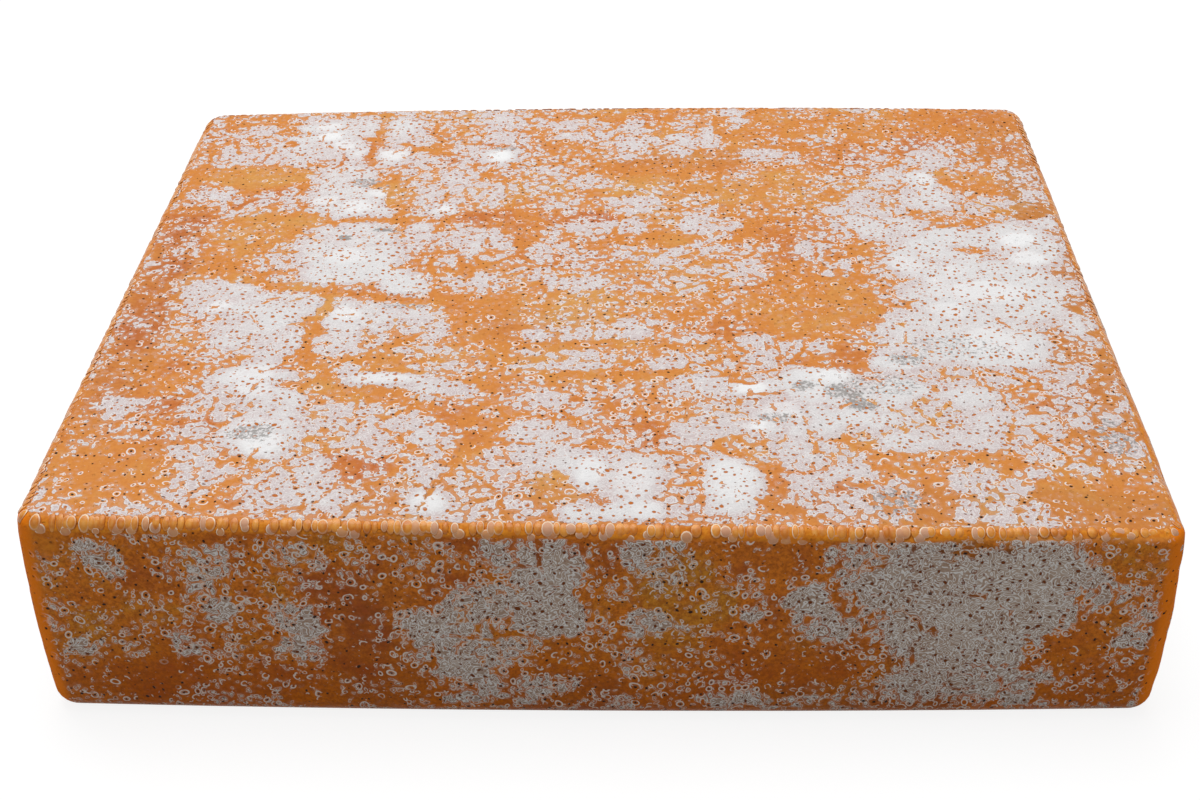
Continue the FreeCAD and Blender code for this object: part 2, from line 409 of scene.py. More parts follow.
def lay_patches(field, a, b, patches):
    """Paint ovals, each with a level, over a field in order: field + cover x (level - field)."""
    for *oval, level in patches:
        field = field + in_oval(a, b, oval, 0.72, 1.22) * (level - field)
    return field


def nudge(field, a, b, patches):
    """Raise or lower a field by soft ovals, each with the amount."""
    for *oval, by in patches:
        field = field + by * in_oval(a, b, oval, 0.6, 1.3)
    return field


def lay_seams(field, a, b, seams):
    """Paint lines over a field in order, each given by its ends, half width and level."""
    for *ends, wide, level in seams:
        cover = 1 - smooth(to_line(a, b, ends) / wide, 0.6, 1.3)
        field = field + cover * (level - field)
    return field


shift = np.stack([layered_noise(points, 12, seed, 3) for seed in (11, 21, 31)], 1) * 3.0
px, py, pz = (points + shift).T
print("strokes are looked up at most", round(float(np.abs(shift).max()), 1), "mm away")

# %% Strokes on the top: white patches and bare stretches, left half
TOP_LEFT = [
    # back left corner, and the white islands before it
    (-128, 108, 11, 8, 0.75), (-124, 90, 17, 9, 0.72), (-101, 104, 15, 16, 0.95),
    (-112, 92, 13, 10, 0.8), (-92, 112, 9, 8, 0.9), (-94, 92, 9, 9, 0.85),
    (-116, 108, 5, 3, 0.1), (-114, 97, 2.5, 3.5, 0.1), (-74, 111, 7, 9, 0.8), (-70, 101, 9, 8, 0.7),
    (-76, 87, 7, 8, 0.85), (-66, 84, 6, 6, 0.6), (-30, 102, 28, 20, 0.5), (-45, 84, 14, 10, 0.62),
    (-35, 72, 24, 10, 0.55), (-39, 86, 7, 6, 0.9), (-15, 92, 12, 8, 0.12), (-19, 85, 8, 7, 0.15),
    (-20, 66, 22, 7, 0.58), (-6, 106, 6, 5, 0.5), (-8, 76, 9, 6, 0.4),
    # left, from the bare ochre patch to the long white one
    (-121, 72, 19, 9, 0.04), (-100, 68, 5, 8, 0.5), (-90, 68, 11, 16, 0.95), (-83, 50, 13, 11, 0.97),
    (-97, 52, 8, 7, 0.9), (-106, 53, 7, 7, 0.5), (-129, 56, 7, 7, 0.72), (-137, 64, 6, 6, 0.4),
    (-123, 44, 10, 8, 0.42), (-108, 38, 13, 7, 0.06), (-120, 24, 14, 15, 0.06),
    (-118, 7, 12, 8, 0.06), (-136, 22, 9, 30, 0.22), (-104, 11, 7, 8, 0.5),
    (-70, 56, 6, 12, 0.08), (-62, 47, 6, 6, 0.5), (-55, 45, 5, 5.5, 0.95), (-56, 57, 7, 7, 0.55),
    (-82, 20, 19, 18, 1.0), (-62, 27, 7, 9, 0.85), (-78, 2, 18, 7, 0.97), (-60, -5, 8, 6, 0.85),
    # the middle left: bare orange, then lilac patches
    (-40, 47, 11, 8, 0.1), (-28, 40, 20, 7, 0.05), (-44, 21, 13, 11, 0.72), (-42, 7, 13, 4, 0.2),
    (-26, 24, 4, 9, 0.1), (-18, 17, 8, 8, 0.5), (-22, 3, 9, 7, 0.52), (-6, 31, 9, 9, 0.68),
    (-8, 12, 8, 7, 0.5), (-48, -3, 8, 4, 0.35), (-7, -3, 8, 4, 0.5),
]
print(len(TOP_LEFT), "strokes on the back left")

# %% Strokes on the top: front left
TOP_FRONT_LEFT = [
    (-138, -22, 9, 24, 0.17), (-120, -12, 12, 11, 0.85), (-104, -22, 13, 11, 0.9),
    (-107, -33, 12, 9, 0.85), (-94, -17, 8, 8, 0.85), (-97, -42, 10, 8, 0.85), (-123, -37, 7, 6, 0.4),
    (-77, -26, 8, 11, 0.9), (-76, -41, 8, 7, 0.88), (-67, -20, 6, 8, 0.75), (-67, -36, 5, 7, 0.7),
    (-55, -22, 6, 5, 0.8), (-51, -32, 8, 6, 0.72), (-42, -36, 5, 4, 0.6), (-36, -24, 13, 16, 0.06),
    (-28, -45, 9, 10, 0.1), (-52, -44, 12, 3.5, 0.65), (-70, -50, 14, 3, 0.12),
    (-44, -54, 13, 3.5, 0.6), (-74, -54, 7, 3, 0.65), (-62, -60, 13, 3.5, 0.97),
    (-45, -64, 9, 5, 0.7), (-36, -68, 4, 4, 0.55), (-99, -61, 13, 12, 1.0), (-93, -72, 11, 9, 0.95),
    (-109, -74, 8, 10, 0.55), (-131, -58, 15, 12, 0.04), (-137, -73, 6, 3, 0.4),
    (-135, -84, 6, 6, 0.45), (-124, -82, 8, 8, 0.22), (-92, -87, 12, 13, 0.92),
    (-112, -97, 9, 5, 0.55), (-106, -106, 9, 6, 0.7), (-97, -101, 6, 3, 0.15), (-127, -106, 15, 14, 0.1),
    (-108, -115, 7, 6, 0.6), (-73, -80, 14, 8, 0.62), (-72, -92, 10, 6, 0.42), (-57, -84, 10, 6, 0.58),
    (-60, -95, 12, 6, 0.68), (-66, -102, 9, 4, 0.25), (-75, -106, 7, 6, 0.72), (-87, -112, 9, 5, 0.65),
    (-74, -115, 9, 6, 0.78), (-58, -110, 7, 7, 0.4), (-82, -122, 26, 2.5, 0.45),
    (-45, -88, 8, 7, 0.62), (-46, -103, 7, 9, 0.68), (-45, -119, 6, 6, 0.92), (-29, -86, 5, 8, 0.06),
    (-12, -34, 15, 3.6, 0.72), (-8, -22, 12, 2, 0.3), (-8, -40.5, 20, 2, 0.08), (-14, -45.5, 12, 2.2, 0.6),
    (-12, -53, 16, 2, 0.6), (-8, -57, 13, 2.2, 0.05), (-22, -69, 9, 6, 0.65), (-8, -70, 9, 8, 0.62),
    (-15, -86, 12, 8, 0.7), (-12, -98, 13, 7, 0.8), (-25, -108, 5, 9, 0.42), (-24, -120, 9, 4, 0.35),
    (-12, -113, 6, 8, 0.05), (-3, -104, 6, 8, 0.92), (-3, -122, 6, 4, 0.9),
]
print(len(TOP_FRONT_LEFT), "strokes on the front left")

# %% Strokes on the top: right half
TOP_RIGHT = [
    # back, bare with flecks, and small lobed islands
    (70, 112, 60, 13, 0.15), (127, 113, 20, 13, 0.03), (5, 113, 8, 9, 0.5), (44, 122, 5, 3, 0.7),
    (45, 113, 4, 5, 0.6), (25, 112, 4, 6, 0.5), (8, 107, 4, 3, 0.65), (7, 96, 6, 6, 0.7),
    (16, 97, 4, 5, 0.6), (25, 96, 5, 9, 0.78), (35, 106, 3, 5, 0.7), (38, 96, 6, 8, 0.75),
    (5, 86, 3, 4, 0.65), (24, 78, 27, 7, 0.1), (55, 86, 11, 5, 0.74), (65, 84, 6, 5, 0.7),
    (63, 96, 5, 5, 0.55), (73, 98, 7, 5, 0.68), (60, 106, 12, 4, 0.15), (32, 66, 3.5, 4, 0.6),
    (4, 62, 8, 3, 0.62), (20, 60, 6, 3.5, 0.62), (55, 73, 7, 3, 0.5), (55, 66, 14, 5, 0.28),
    (8, 50, 10, 6, 0.8), (28, 52, 5, 6, 0.8), (34, 49, 7, 6, 0.75), (56, 50, 9, 30, 0.16),
    (5, 35, 8, 6, 0.8), (30, 35, 6, 7, 0.85), (40, 34, 6, 5, 0.82), (57, 35, 4, 3, 0.4),
    (36, 20, 9, 8, 0.74), (13, 16, 12, 7, 0.68), (45, 13, 6, 8, 0.62), (54, 8, 6, 10, 0.15),
    (65, 18, 6, 8, 0.66), (72, 6, 6, 6, 0.68), (38, 5, 9, 6, 0.72), (48, 4, 5, 6, 0.6),
    (10, 5, 10, 5, 0.48), (20, 27, 8, 4, 0.15), (80, 40, 10, 12, 0.62), (70, 27, 7, 5, 0.42),
    # right, pink lace at the back, then the broad dry coat
    (88, 84, 10, 7, 0.55), (97, 95, 9, 5, 0.45), (112, 84, 10, 8, 0.62), (130, 80, 9, 6, 0.62),
    (124, 93, 12, 6, 0.42), (138, 70, 7, 9, 0.58), (141, 56, 5, 5, 0.5), (125, 63, 10, 9, 0.16),
    (118, 50, 14, 5, 0.3), (95, 68, 6, 5, 0.75), (106, 67, 5, 8, 0.9), (106, 53, 11, 8, 0.78),
    (90, 56, 8, 9, 0.62), (92, 34, 13, 12, 0.85), (112, 22, 16, 12, 0.98), (133, 22, 13, 15, 1.0),
    (95, 10, 9, 8, 0.97), (116, 3, 24, 9, 1.0), (142, 38, 5, 4, 0.95), (117, 19, 7, 2, 0.4),
]
print(len(TOP_RIGHT), "strokes on the right")

# %% Strokes on the top: front right
TOP_FRONT_RIGHT = [
    (8, -5, 11, 6, 0.68), (23, -6, 8, 6, 0.6), (42, -5, 5, 5, 0.6), (28, -14, 22, 4, 0.12),
    (38, -15, 4, 3, 0.5), (63, -19, 21, 18, 0.07), (12, -21, 14, 2.2, 0.2), (15, -28, 12, 3.2, 0.68),
    (6, -34, 9, 3, 0.68), (25, -34, 8, 2.6, 0.6), (46, -36, 7, 3, 0.6), (15, -40.5, 18, 2.2, 0.06),
    (14, -44, 14, 1.2, 0.3), (16, -47.6, 17, 2, 0.62), (12, -52.5, 17, 2.2, 0.64),
    (14, -56.8, 19, 2.2, 0.06), (116, -12, 27, 14, 1.0), (94, -34, 16, 16, 0.95),
    (115, -37, 16, 15, 1.0), (85, -47, 8, 6, 0.93), (141, -25, 5, 6, 0.7), (135, -34, 5, 6, 0.2),
    (138, -46, 8, 7, 0.33), (126, -56, 11, 5, 0.38), (142, -60, 5, 12, 0.2), (60, -42, 9, 4, 0.65),
    (46, -47, 6, 5, 0.66), (72, -47, 5, 7, 0.22), (32, -62, 16, 5.5, 0.8), (13, -66, 12, 6, 0.62),
    (62, -60, 14, 9, 0.93), (42, -63, 8, 6, 0.97), (54, -76, 16, 12, 0.92), (74, -70, 14, 12, 0.86),
    (104, -68, 13, 7, 0.74), (90, -76, 10, 8, 0.7), (86, -62, 8, 5, 0.9), (112, -81, 17, 12, 0.52),
    (127, -68, 12, 9, 0.34), (140, -84, 6, 11, 0.4), (100, -88, 10, 5, 0.62), (84, -88, 9, 5, 0.78),
    (100, -96, 13, 4, 0.1), (20, -73, 9, 6, 0.42), (12, -85, 9, 5, 0.25), (30, -82, 10, 6, 0.68),
    (25, -92, 12, 4, 0.36), (9, -106, 10, 12, 0.84), (9, -121, 9, 5, 0.9), (35, -110, 9, 14, 1.0),
    (25, -112, 2.2, 11, 0.3), (56, -95, 14, 6, 0.78), (62, -105, 12, 8, 0.5), (46, -110, 3, 10, 0.12),
    (62, -116, 14, 8, 0.45), (77, -116, 8, 9, 0.5), (89, -112, 5, 14, 0.08), (100, -107, 8, 6, 0.6),
    (110, -111, 7, 5, 0.55), (116, -103, 7, 4, 0.8), (101, -120, 9, 5, 0.5), (112, -119, 5, 4, 0.42),
    (133, -115, 17, 13, 0.03), (141, -100, 8, 8, 0.14), (125, -97, 10, 6, 0.45),
]
TOP_SEAMS = [
    (-83, 122, -84, 82, 1.8, 0.06), (-103, 40, -62, 38.5, 1.8, 0.08), (-112, -2, -88, -8, 2.6, 0.06),
    (-88, -8, -38, -17, 2.2, 0.06), (-86, -12, -86, -49, 2.0, 0.06), (-88, -62, -62, -68, 2.8, 0.08),
    (-62, -68, -30, -82, 2.8, 0.06), (-25, -78, -38, -99, 2.2, 0.06), (-38, -99, -47, -122, 0.9, 0.2),
    (104, 32, 144, 42, 0.9, 0.35), (-68, 112, -59, 96, 1.2, 0.1), (88, -100, 86, -124, 3.5, 0.08),
    (-98, -72, -106, -88, 0.8, 0.3), (44, -60, 30, -56, 1.0, 0.4), (30, 88, 44, 92, 1.4, 0.1),
]
print(len(TOP_FRONT_RIGHT), "strokes on the front right and", len(TOP_SEAMS), "seams")

# %% Strokes on the front wall: across, and height above the shelf
FRONT = [
    (-128, 57, 6, 5, 0.85), (-125, 52, 5, 4, 0.7), (-136, 25, 5, 4, 0.7), (-110, 26, 4.5, 4, 0.7),
    (-98, 54, 8, 6, 0.55), (-98, 38, 6, 5, 0.7), (-103, 47, 5, 4, 0.45), (-78, 35, 9, 5, 0.7),
    (-76, 26, 10, 5, 0.6), (-88, 45, 10, 6, 0.25), (-70, 56, 12, 6, 0.42), (-64, 38, 9, 10, 0.12),
    (-30, 33, 20, 14, 0.72), (-13, 50, 9, 14, 0.97), (-10, 37, 8, 8, 0.98), (-27, 56, 6, 5, 0.65),
    (-40, 27, 9, 7, 0.78), (-36, 14, 9, 8, 0.85), (-14, 14, 9, 6, 0.6), (-5, 25, 10, 6, 0.22),
    (-22, 7, 18, 3, 0.5), (14, 58, 10, 6, 0.8), (16, 50, 7, 4, 0.4), (14, 36, 6, 4, 0.62),
    (18, 30, 10, 4, 0.6), (34, 50, 9, 9, 0.18), (22, 24, 12, 8, 0.15), (40, 37, 4, 3, 0.8),
    (55, 42, 7, 5, 0.85), (58, 34, 9, 5, 0.72), (62, 45, 3, 5, 0.1), (64, 55, 6, 6, 0.55),
    (72, 52, 10, 9, 0.72), (85, 42, 16, 14, 0.92), (108, 44, 20, 16, 1.0), (84, 58, 8, 5, 0.8),
    (100, 27, 18, 9, 0.97), (92, 15, 16, 9, 0.86), (110, 12, 12, 7, 0.72), (84, 30, 12, 8, 0.9),
    (126, 45, 6, 7, 0.8), (117, 24, 8, 5, 0.3), (127, 26, 8, 8, 0.06), (122, 12, 6, 4, 0.35),
    (136, 45, 4, 4, 0.55), (143, 44, 3, 3, 0.5), (137, 29, 4, 5, 0.7), (144, 26, 3, 6, 0.6),
    (143, 37, 3, 3, 0.5), (136, 57, 12, 5, 0.08), (50, 20, 20, 6, 0.07), (46, 7, 20, 3, 0.62),
    (76, 8, 5, 3, 0.3), (5, 7, 14, 3, 0.4), (-60, 12, 30, 5, 0.16), (-115, 15, 34, 6, 0.06),
    (-128, 38, 9, 8, 0.14), (-118, 44, 8, 5, 0.2),
]
print(len(FRONT), "strokes on the front wall")

# %% Touches to the top: places where the coat is a little fuller or thinner
TOP_TOUCHES = [
    (-37, 113, 13, 14, 0.18), (-12, 113, 13, 14, 0.22), (-30, 85, 16, 14, 0.12), (-12, 85, 12, 12, 0.12),
    (-50, 56, 26, 14, 0.15), (-130, 28, 22, 16, 0.12), (-75, 0, 40, 14, 0.14), (-37, 0, 14, 14, 0.12),
    (-75, -28, 26, 14, 0.11), (137, -28, 13, 14, 0.22), (137, 0, 13, 14, 0.15), (113, -56, 26, 14, 0.2),
    (75, -56, 26, 14, 0.13), (-37, -85, 13, 14, 0.2), (75, -85, 14, 14, 0.2), (113, -85, 14, 14, 0.16),
    (138, -85, 13, 16, 0.32), (-37, -113, 14, 14, 0.17), (-12, -113, 13, 14, 0.2), (13, -113, 13, 14, 0.12),
    (62, -113, 13, 14, 0.17), (113, 85, 13, 14, 0.16), (113, 56, 26, 14, 0.12), (100, 28, 24, 12, 0.12),
    (138, 85, 12, 14, -0.25), (38, 56, 13, 14, -0.26), (13, 56, 14, 16, -0.12), (13, 85, 12, 14, -0.15),
    (13, 28, 14, 14, -0.22), (38, 28, 13, 14, -0.2), (63, 28, 12, 12, -0.12), (13, 0, 13, 14, -0.13),
]
print(len(TOP_TOUCHES), "touches")

# %% Strokes of tint on the top and the front: 0 is ochre, 0.5 is orange and 1 is red-brown
TOP_TINTS = [
    (-122, 72, 20, 10, 0.15), (-110, 30, 20, 20, 0.25), (-140, 15, 8, 45, 0.8), (-139, -25, 9, 22, 0.9),
    (-131, -58, 16, 12, 0.6), (-28, 40, 26, 8, 0.75), (-8, 40, 12, 5, 0.9), (-36, -24, 14, 16, 0.55),
    (-60, -8, 30, 6, 0.7), (-66, -102, 14, 6, 0.95), (-127, -106, 16, 14, 0.45), (24, 78, 30, 8, 0.6),
    (70, 112, 50, 12, 0.4), (127, 113, 22, 14, 0.6), (62, -19, 24, 19, 0.35), (95, -8, 10, 6, 0.4),
    (72, -48, 7, 9, 0.7), (135, -115, 20, 15, 0.5), (8, -48, 36, 16, 0.3), (-12, -112, 8, 10, 0.2),
    (89, -112, 8, 14, 0.5), (113, 60, 24, 10, 0.55), (12, -86, 14, 8, 0.8), (88, 84, 22, 14, 0.7),
]
FRONT_TINTS = [
    (-130, 35, 20, 26, 0.3), (-66, 34, 14, 22, 0.85), (-100, 14, 40, 8, 0.6), (18, 44, 18, 18, 0.1),
    (52, 22, 24, 10, 0.55), (-45, 50, 16, 10, 0.8), (68, 40, 8, 16, 0.6), (134, 56, 16, 8, 0.4),
    (134, 20, 14, 18, 0.5), (5, 22, 12, 6, 0.2), (-20, 60, 30, 5, 0.8), (-110, 50, 20, 8, 0.6),
]
print(len(TOP_TINTS + FRONT_TINTS), "strokes of tint")

# %% Strokes of cotton and of grey on the top, and of darker brown patches on the bare rind
TOP_COTTON = [
    (-101, 104, 4, 4, 0.9), (-103, 112, 4, 3, 0.7), (-95, 97, 4, 4, 0.7), (-76, 88, 5, 5, 0.8),
    (-39, 86, 4.5, 4, 1.0), (-77, 58, 4, 4, 0.8), (-84, 48, 5, 4, 0.7), (-95, 53, 4, 3, 0.6),
    (-82, 14, 7, 6, 0.5), (-55, 45, 3, 3, 0.7), (-117, -18, 4, 4, 0.8), (-78, -23, 5, 5, 0.7),
    (-62, -60, 8, 2.5, 0.6), (-100, -58, 7, 5, 0.6), (-92, -93, 6, 5, 0.8), (-98, -66, 5, 4, 0.5),
    (133, 25, 6, 5, 0.9), (134, 13, 5, 5, 0.8), (108, 68, 3, 5, 0.6), (118, -8, 12, 7, 0.6),
    (104, -18, 6, 5, 0.5), (66, -57, 5, 4, 0.8), (42, -63, 5, 3.5, 1.0), (43, -83, 3, 2.5, 1.0),
    (50, -75, 6, 5, 0.5), (35, -108, 6, 11, 0.55), (9, -108, 6, 8, 0.4), (-3, -104, 4, 5, 0.6),
    (115, -37, 9, 8, 0.5), (95, 8, 6, 5, 0.4), (28, 52, 3, 3, 0.4), (-45, -119, 4, 4, 0.7),
]
TOP_GREY = [
    (-82, 66, 8, 4, 0.5), (-38, 93, 5, 2.5, 0.5), (-55, 102, 4, 2, 0.5), (-85, 26, 2.5, 1.6, 1.0),
    (-73, 31, 4, 1, 0.8), (-95, -88, 7, 4, 0.5), (57, -62, 4, 3, 0.6), (68, -65, 6, 4, 0.6),
    (72, -71, 5, 3, 0.7), (48, -79, 6, 3, 0.5), (88, -47, 7, 3, 0.5), (140, -85, 6, 10, 0.45),
    (78, -116, 8, 7, 0.5), (104, -40, 16, 7, 0.3), (80, -60, 12, 6, 0.35), (-60, -17, 8, 3, 0.4),
]
TOP_DARK_PATCHES = [
    (143, 40, 10, 70, 0.30), (139, -60, 14, 40, 0.20), (100, -118, 60, 10, 0.18), (-30, -118, 60, 10, 0.14),
    (-139, -20, 10, 70, 0.14), (137, 96, 14, 18, 0.12), (30, 84, 30, 8, 0.12), (-20, -30, 20, 10, 0.10),
]
FRONT_DARK_PATCHES = [
    (88, 52, 15, 12, 0.45), (88, 20, 14, 22, 0.35), (112, 52, 12, 10, 0.40), (-58, 24, 14, 26, 0.14),
    (-12, 8, 22, 10, 0.16), (60, 6, 30, 9, 0.22), (14, 52, 14, 8, 0.08), (62, 34, 14, 14, 0.12),
]
print(len(TOP_COTTON), "of cotton,", len(TOP_GREY), "of grey,", len(TOP_DARK_PATCHES + FRONT_DARK_PATCHES), "of stain")

# %% [markdown]
# ## Painting the skin, and giving it relief
#
# The back, left and right walls are seen by nobody here, but they are no less real. Their
# patches come from the same smooth randomness, with as much bare rind between them as the front
# has. The rims stay bare: handling and turning rub the bloom off them.
#
# Relief follows the paint. Cotton stands a little proud, seams are pressed in, and all the skin
# rolls slightly. Each point moves along its own normal.

# %% Paint every side
COUNT = len(points)
TOP_LEVEL, FRONT_LEVEL = 0.34, 0.2  # the level before any stroke
top_cover = lay_patches(np.full(COUNT, TOP_LEVEL), px, py, TOP_LEFT + TOP_FRONT_LEFT)
top_cover = lay_patches(top_cover, px, py, TOP_RIGHT + TOP_FRONT_RIGHT)
top_cover = nudge(top_cover, px, py, TOP_TOUCHES)
top_cover = lay_seams(top_cover, px, py, TOP_SEAMS)
front_cover = lay_patches(np.full(COUNT, FRONT_LEVEL), px, pz, FRONT)
wild_cover = 0.15 + 0.8 * smooth(layered_noise(points, 38, 71, 4), -0.02, 0.38)
paint = wild_cover + faces_front * (front_cover - wild_cover)
paint = paint + faces_up * (top_cover - paint)

slow = layered_noise(points, 12, 201, 3)
vein = 1 - smooth(np.abs(layered_noise(points, 19, 211, 3)), 0.02, 0.085)
loose = 0.35 + 2.6 * paint * (1 - np.clip(paint, 0, 1))
bloom = paint + 0.09 + 0.50 * slow * loose - 0.42 * vein * (1 - 0.6 * smooth(paint, 0.8, 1.0))
bloom = bloom - 0.9 * on_rim
print("mean cover of the top", round(float(bloom[faces_up > 0.9].mean()), 2))
print("mean cover of the front", round(float(bloom[faces_front > 0.9].mean()), 2))

# %% Tint the rind, and lay cotton, grey and darker brown patches
TINT_STRENGTH = 0.8


def on_faces(share, b, patches):
    """Paint patches on one side only: the top with b = py, the front with b = pz."""
    return lay_patches(np.zeros(COUNT), px, b, patches) * share


tint = 0.48 + 0.55 * layered_noise(points, 34, 81, 4)
front_tint = lay_patches(tint, px, pz, FRONT_TINTS)
top_tint = lay_patches(tint, px, py, TOP_TINTS)
tint = tint + faces_front * TINT_STRENGTH * (front_tint - tint)
tint = tint + faces_up * TINT_STRENGTH * (top_tint - tint)
cotton_wall = smooth(layered_noise(points, 16, 91, 3), 0.35, 0.6) * smooth(bloom, 0.6, 0.9)
cotton = np.maximum(on_faces(faces_up, py, TOP_COTTON), 0.4 * cotton_wall)
grey = on_faces(faces_up, py, TOP_GREY)
dark_patch = on_faces(faces_up, py, TOP_DARK_PATCHES) + on_faces(faces_front, pz, FRONT_DARK_PATCHES)
print("tint runs from", round(float(tint.min()), 2), "to", round(float(tint.max()), 2))

# %% Draw the hairlines
# Fine cracks, scratches and thin creases: from (x, y) to (x, y). They are drawn as dark lines
# with no relief: painted shade in the creases and cracks, and darker rind in the scratches. A line
# thinner than the mesh's own squares can't be painted on its points, but the distance to it can,
# because that changes evenly.
HAIRLINES = [
    (47, -66, 70, -86), (70, -86, 92, -92), (104, 32, 143, 42), (-37, -94, -47, -121),
    (-60, 98, -68, 110), (30, 76, 46, 66), (-12, 24, 6, 20), (-96, -60, -108, -90), (20, -98, 26, -122),
]
FAR_ENOUGH = 5.0

bend = 0.9 * layered_noise(points, 9, 261, 2)
hairline = np.full(COUNT, FAR_ENOUGH)
for ends in HAIRLINES:
    hairline = np.minimum(hairline, to_line(x + bend, y - bend, ends))
hairline = hairline + FAR_ENOUGH * (1 - faces_up)
print(len(HAIRLINES), "hairlines")

# %% Raise and press the skin
WEAR = 0.45
BULGE_PLACE, BULGE_SIZE = (143.0, -128.0, 56.0), (7.0, 6.0, 9.0)


def worn(to_back, turn):
    """How far handling has worn a rim down: the front one least. WEAR x sin(2 x turn) elsewhere.

    to_back is the plan normal's y, and turn is the angle up from the wall to the top.
    """
    return WEAR * smooth(to_back, -0.5, 0.2) * np.sin(2 * turn)


pressed = lay_seams(np.zeros(COUNT), px, py, [(*seam[:5], 1.0) for seam in TOP_SEAMS]) * faces_up
relief = 0.30 * layered_noise(points, 34, 41) + 0.12 * layered_noise(points, 9, 51, 2)
relief += 0.16 * layered_noise(points, 5, 251, 2) * smooth(z, 2, 8) * (1 - 0.6 * faces_up)
relief += 0.35 * cotton + 0.16 * smooth(bloom, 0.6, 1.0) - 0.35 * pressed
relief += 0.30 * on_rim * soft_noise(points, 7, 61)
relief -= worn(normals[:, 1], np.arcsin(np.clip(normals[:, 2], 0, 1)))
from_bulge = np.linalg.norm((points - BULGE_PLACE) / BULGE_SIZE, axis=1)
relief += 0.6 * (1 - smooth(from_bulge, 0.2, 1.2))
relief *= smooth(z, 0.5, 6.0)
points = points + relief[:, None] * normals
print("relief from", round(float(relief.min()), 2), "to", round(float(relief.max()), 2), "mm")

# %% Rub the upright corners bare
on_wall = 1 - smooth(normals[:, 2], 0.2, 0.8)
# This mask also paints the bare rind on these corners bright orange in the material: a painted glow of
# light.
upright = smooth(np.abs(normals[:, 0]), 0.15, 0.5) * smooth(np.abs(normals[:, 1]), 0.02, 0.25)
upright = upright * smooth(layered_noise(points, 9, 241), -1.2, -0.4)
bloom = bloom - 0.4 * upright
print("share of points on the upright corners:", round(float(upright.mean()), 3))


# %% Put the skin into a mesh


def new_piece(name, places, polygons, fields):
    """Make a mesh object from points in mm, with each named field as a point attribute."""
    mesh = bpy.data.meshes.new(name)
    mesh.from_pydata((places * MM).tolist(), [], polygons)
    mesh.polygons.foreach_set("use_smooth", np.ones(len(mesh.polygons), bool))
    for label, values in fields.items():
        data = mesh.attributes.new(label, "FLOAT", "POINT").data
        data.foreach_set("value", np.ascontiguousarray(values, np.float32))
    piece = bpy.data.objects.new(name, mesh)
    bpy.context.scene.collection.objects.link(piece)
    return piece


rind = new_piece("rind", points, quads.tolist() + fan.tolist(), {
    "bloom": bloom, "tint": tint, "cotton": cotton, "grey": grey, "rim": on_rim, "wall": on_wall,
    "corner": upright, "hairline": hairline, "dark_patch": dark_patch})
sway = np.stack([layered_noise(points, 7, seed, 2) for seed in (221, 231)], 1) * 1.3
face_points = np.concatenate([quads.ravel(), fan.ravel()])
flat_sheet = rind.data.uv_layers.new(name="unrolled")
flat_sheet.data.foreach_set("uv", ((sheet + sway[face_points]) * MM).astype(np.float32).ravel())
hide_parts(BLOCK)
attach(rind, "root")
triangles = sum(len(face.vertices) - 2 for face in rind.data.polygons)
print("the skin has", triangles, "triangles")

# %% [markdown]
# ## Beads along the rim
#
# Where the cloth ended, the soft rind was squeezed out and dried as small domes, side by side,
# like drops of wax. Six hundred of them could each be a ball, but a ball's lower half would
# never be seen, so a bead is a low dome with a closed foot, of only 60 faces. It is drawn in
# its own directions, along the rim and over it, and then wrapped on the rim's quarter circle,
# so that it sits flush wherever it lies, with its edge just under the skin.

# %% Wrap a small shape on the rim
SWELL_LEFT = 0.3  # what is left of the walls' swell as high up as the rim


def on_the_rim(along, over, proud):
    """Place points by distance along the ring, distance up over the rim and height off it.

    Over the rim is an angle: distance / TOP_RIM. Below zero the point runs straight down the
    wall, and past a quarter circle it runs in over the top. The offset is TOP_RIM (cos - 1),
    the height is TOP_RIM sin, and proud is added along the normal, less the rim's wear.
    """
    along = along % RING_LENGTH
    plan, face = (
        np.stack([np.interp(along, ring_way, np.append(column, column[0])) for column in loop.T], -1)
        for loop in (ring, ring_normal))
    turn = np.clip(over / TOP_RIM, 0, math.pi / 2)
    drop = np.minimum(over, 0)
    beyond = np.maximum(over - TOP_RIM * math.pi / 2, 0)
    proud = proud - worn(face[..., 1], turn)
    out = TOP_RIM * (np.cos(turn) - 1) + proud * np.cos(turn) + SWELL_LEFT - beyond
    flat = plan + out[..., None] * face
    height = top_height(plan[..., 0], plan[..., 1]) - TOP_RIM
    height = height + TOP_RIM * np.sin(turn) + drop + proud * np.sin(turn)
    return np.concatenate([flat, height[..., None]], -1)


side_starts = ring_way[CUTS[:-1]]
side_lengths = np.diff(ring_way[CUTS])
print("the rim's four sides are", np.round(side_lengths), "mm long")


# %% Draw one bead
BEAD_ROUND = 12
BEAD_TURNS = np.radians([32, 58, 77, 90])  # from the tip down to each belt of points


def bead_grid():
    """A unit dome on a grid: (cos a sin b, sin a sin b, cos b to the power 0.65).

    The power flattens the dome and steepens its flanks. Its top is one point, and so is the
    point below the rind that closes it.
    """
    a = np.arange(BEAD_ROUND) / BEAD_ROUND * 2 * math.pi
    b = BEAD_TURNS[:, None]
    rise = np.clip(np.cos(b), 0, 1) ** 0.65
    belt = np.stack([np.cos(a) * np.sin(b), np.sin(a) * np.sin(b), rise + 0 * a], -1)
    return np.concatenate([[[0, 0, 1.0]], belt.reshape(-1, 3), [[0, 0, -1.0]]])


def bead_faces():
    """Triangles at the two tips and quads between, all facing outwards."""
    belt = closed(1 + np.arange(len(BEAD_TURNS) * BEAD_ROUND).reshape(-1, BEAD_ROUND))
    end = belt.max() + 1
    crown = [[0, int(p), int(q)] for p, q in zip(belt[0][:-1], belt[0][1:])]
    foot = [[int(end), int(q), int(p)] for p, q in zip(belt[-1][:-1], belt[-1][1:])]
    return quads_of(belt)[:, ::-1].tolist() + crown + foot


ball = bead_grid()
faces = bead_faces()
print("a bead has", len(faces), "faces")

# %% Scatter beads along one side
HIGH_SPACING, LOW_SPACING = 2.3, 5.6
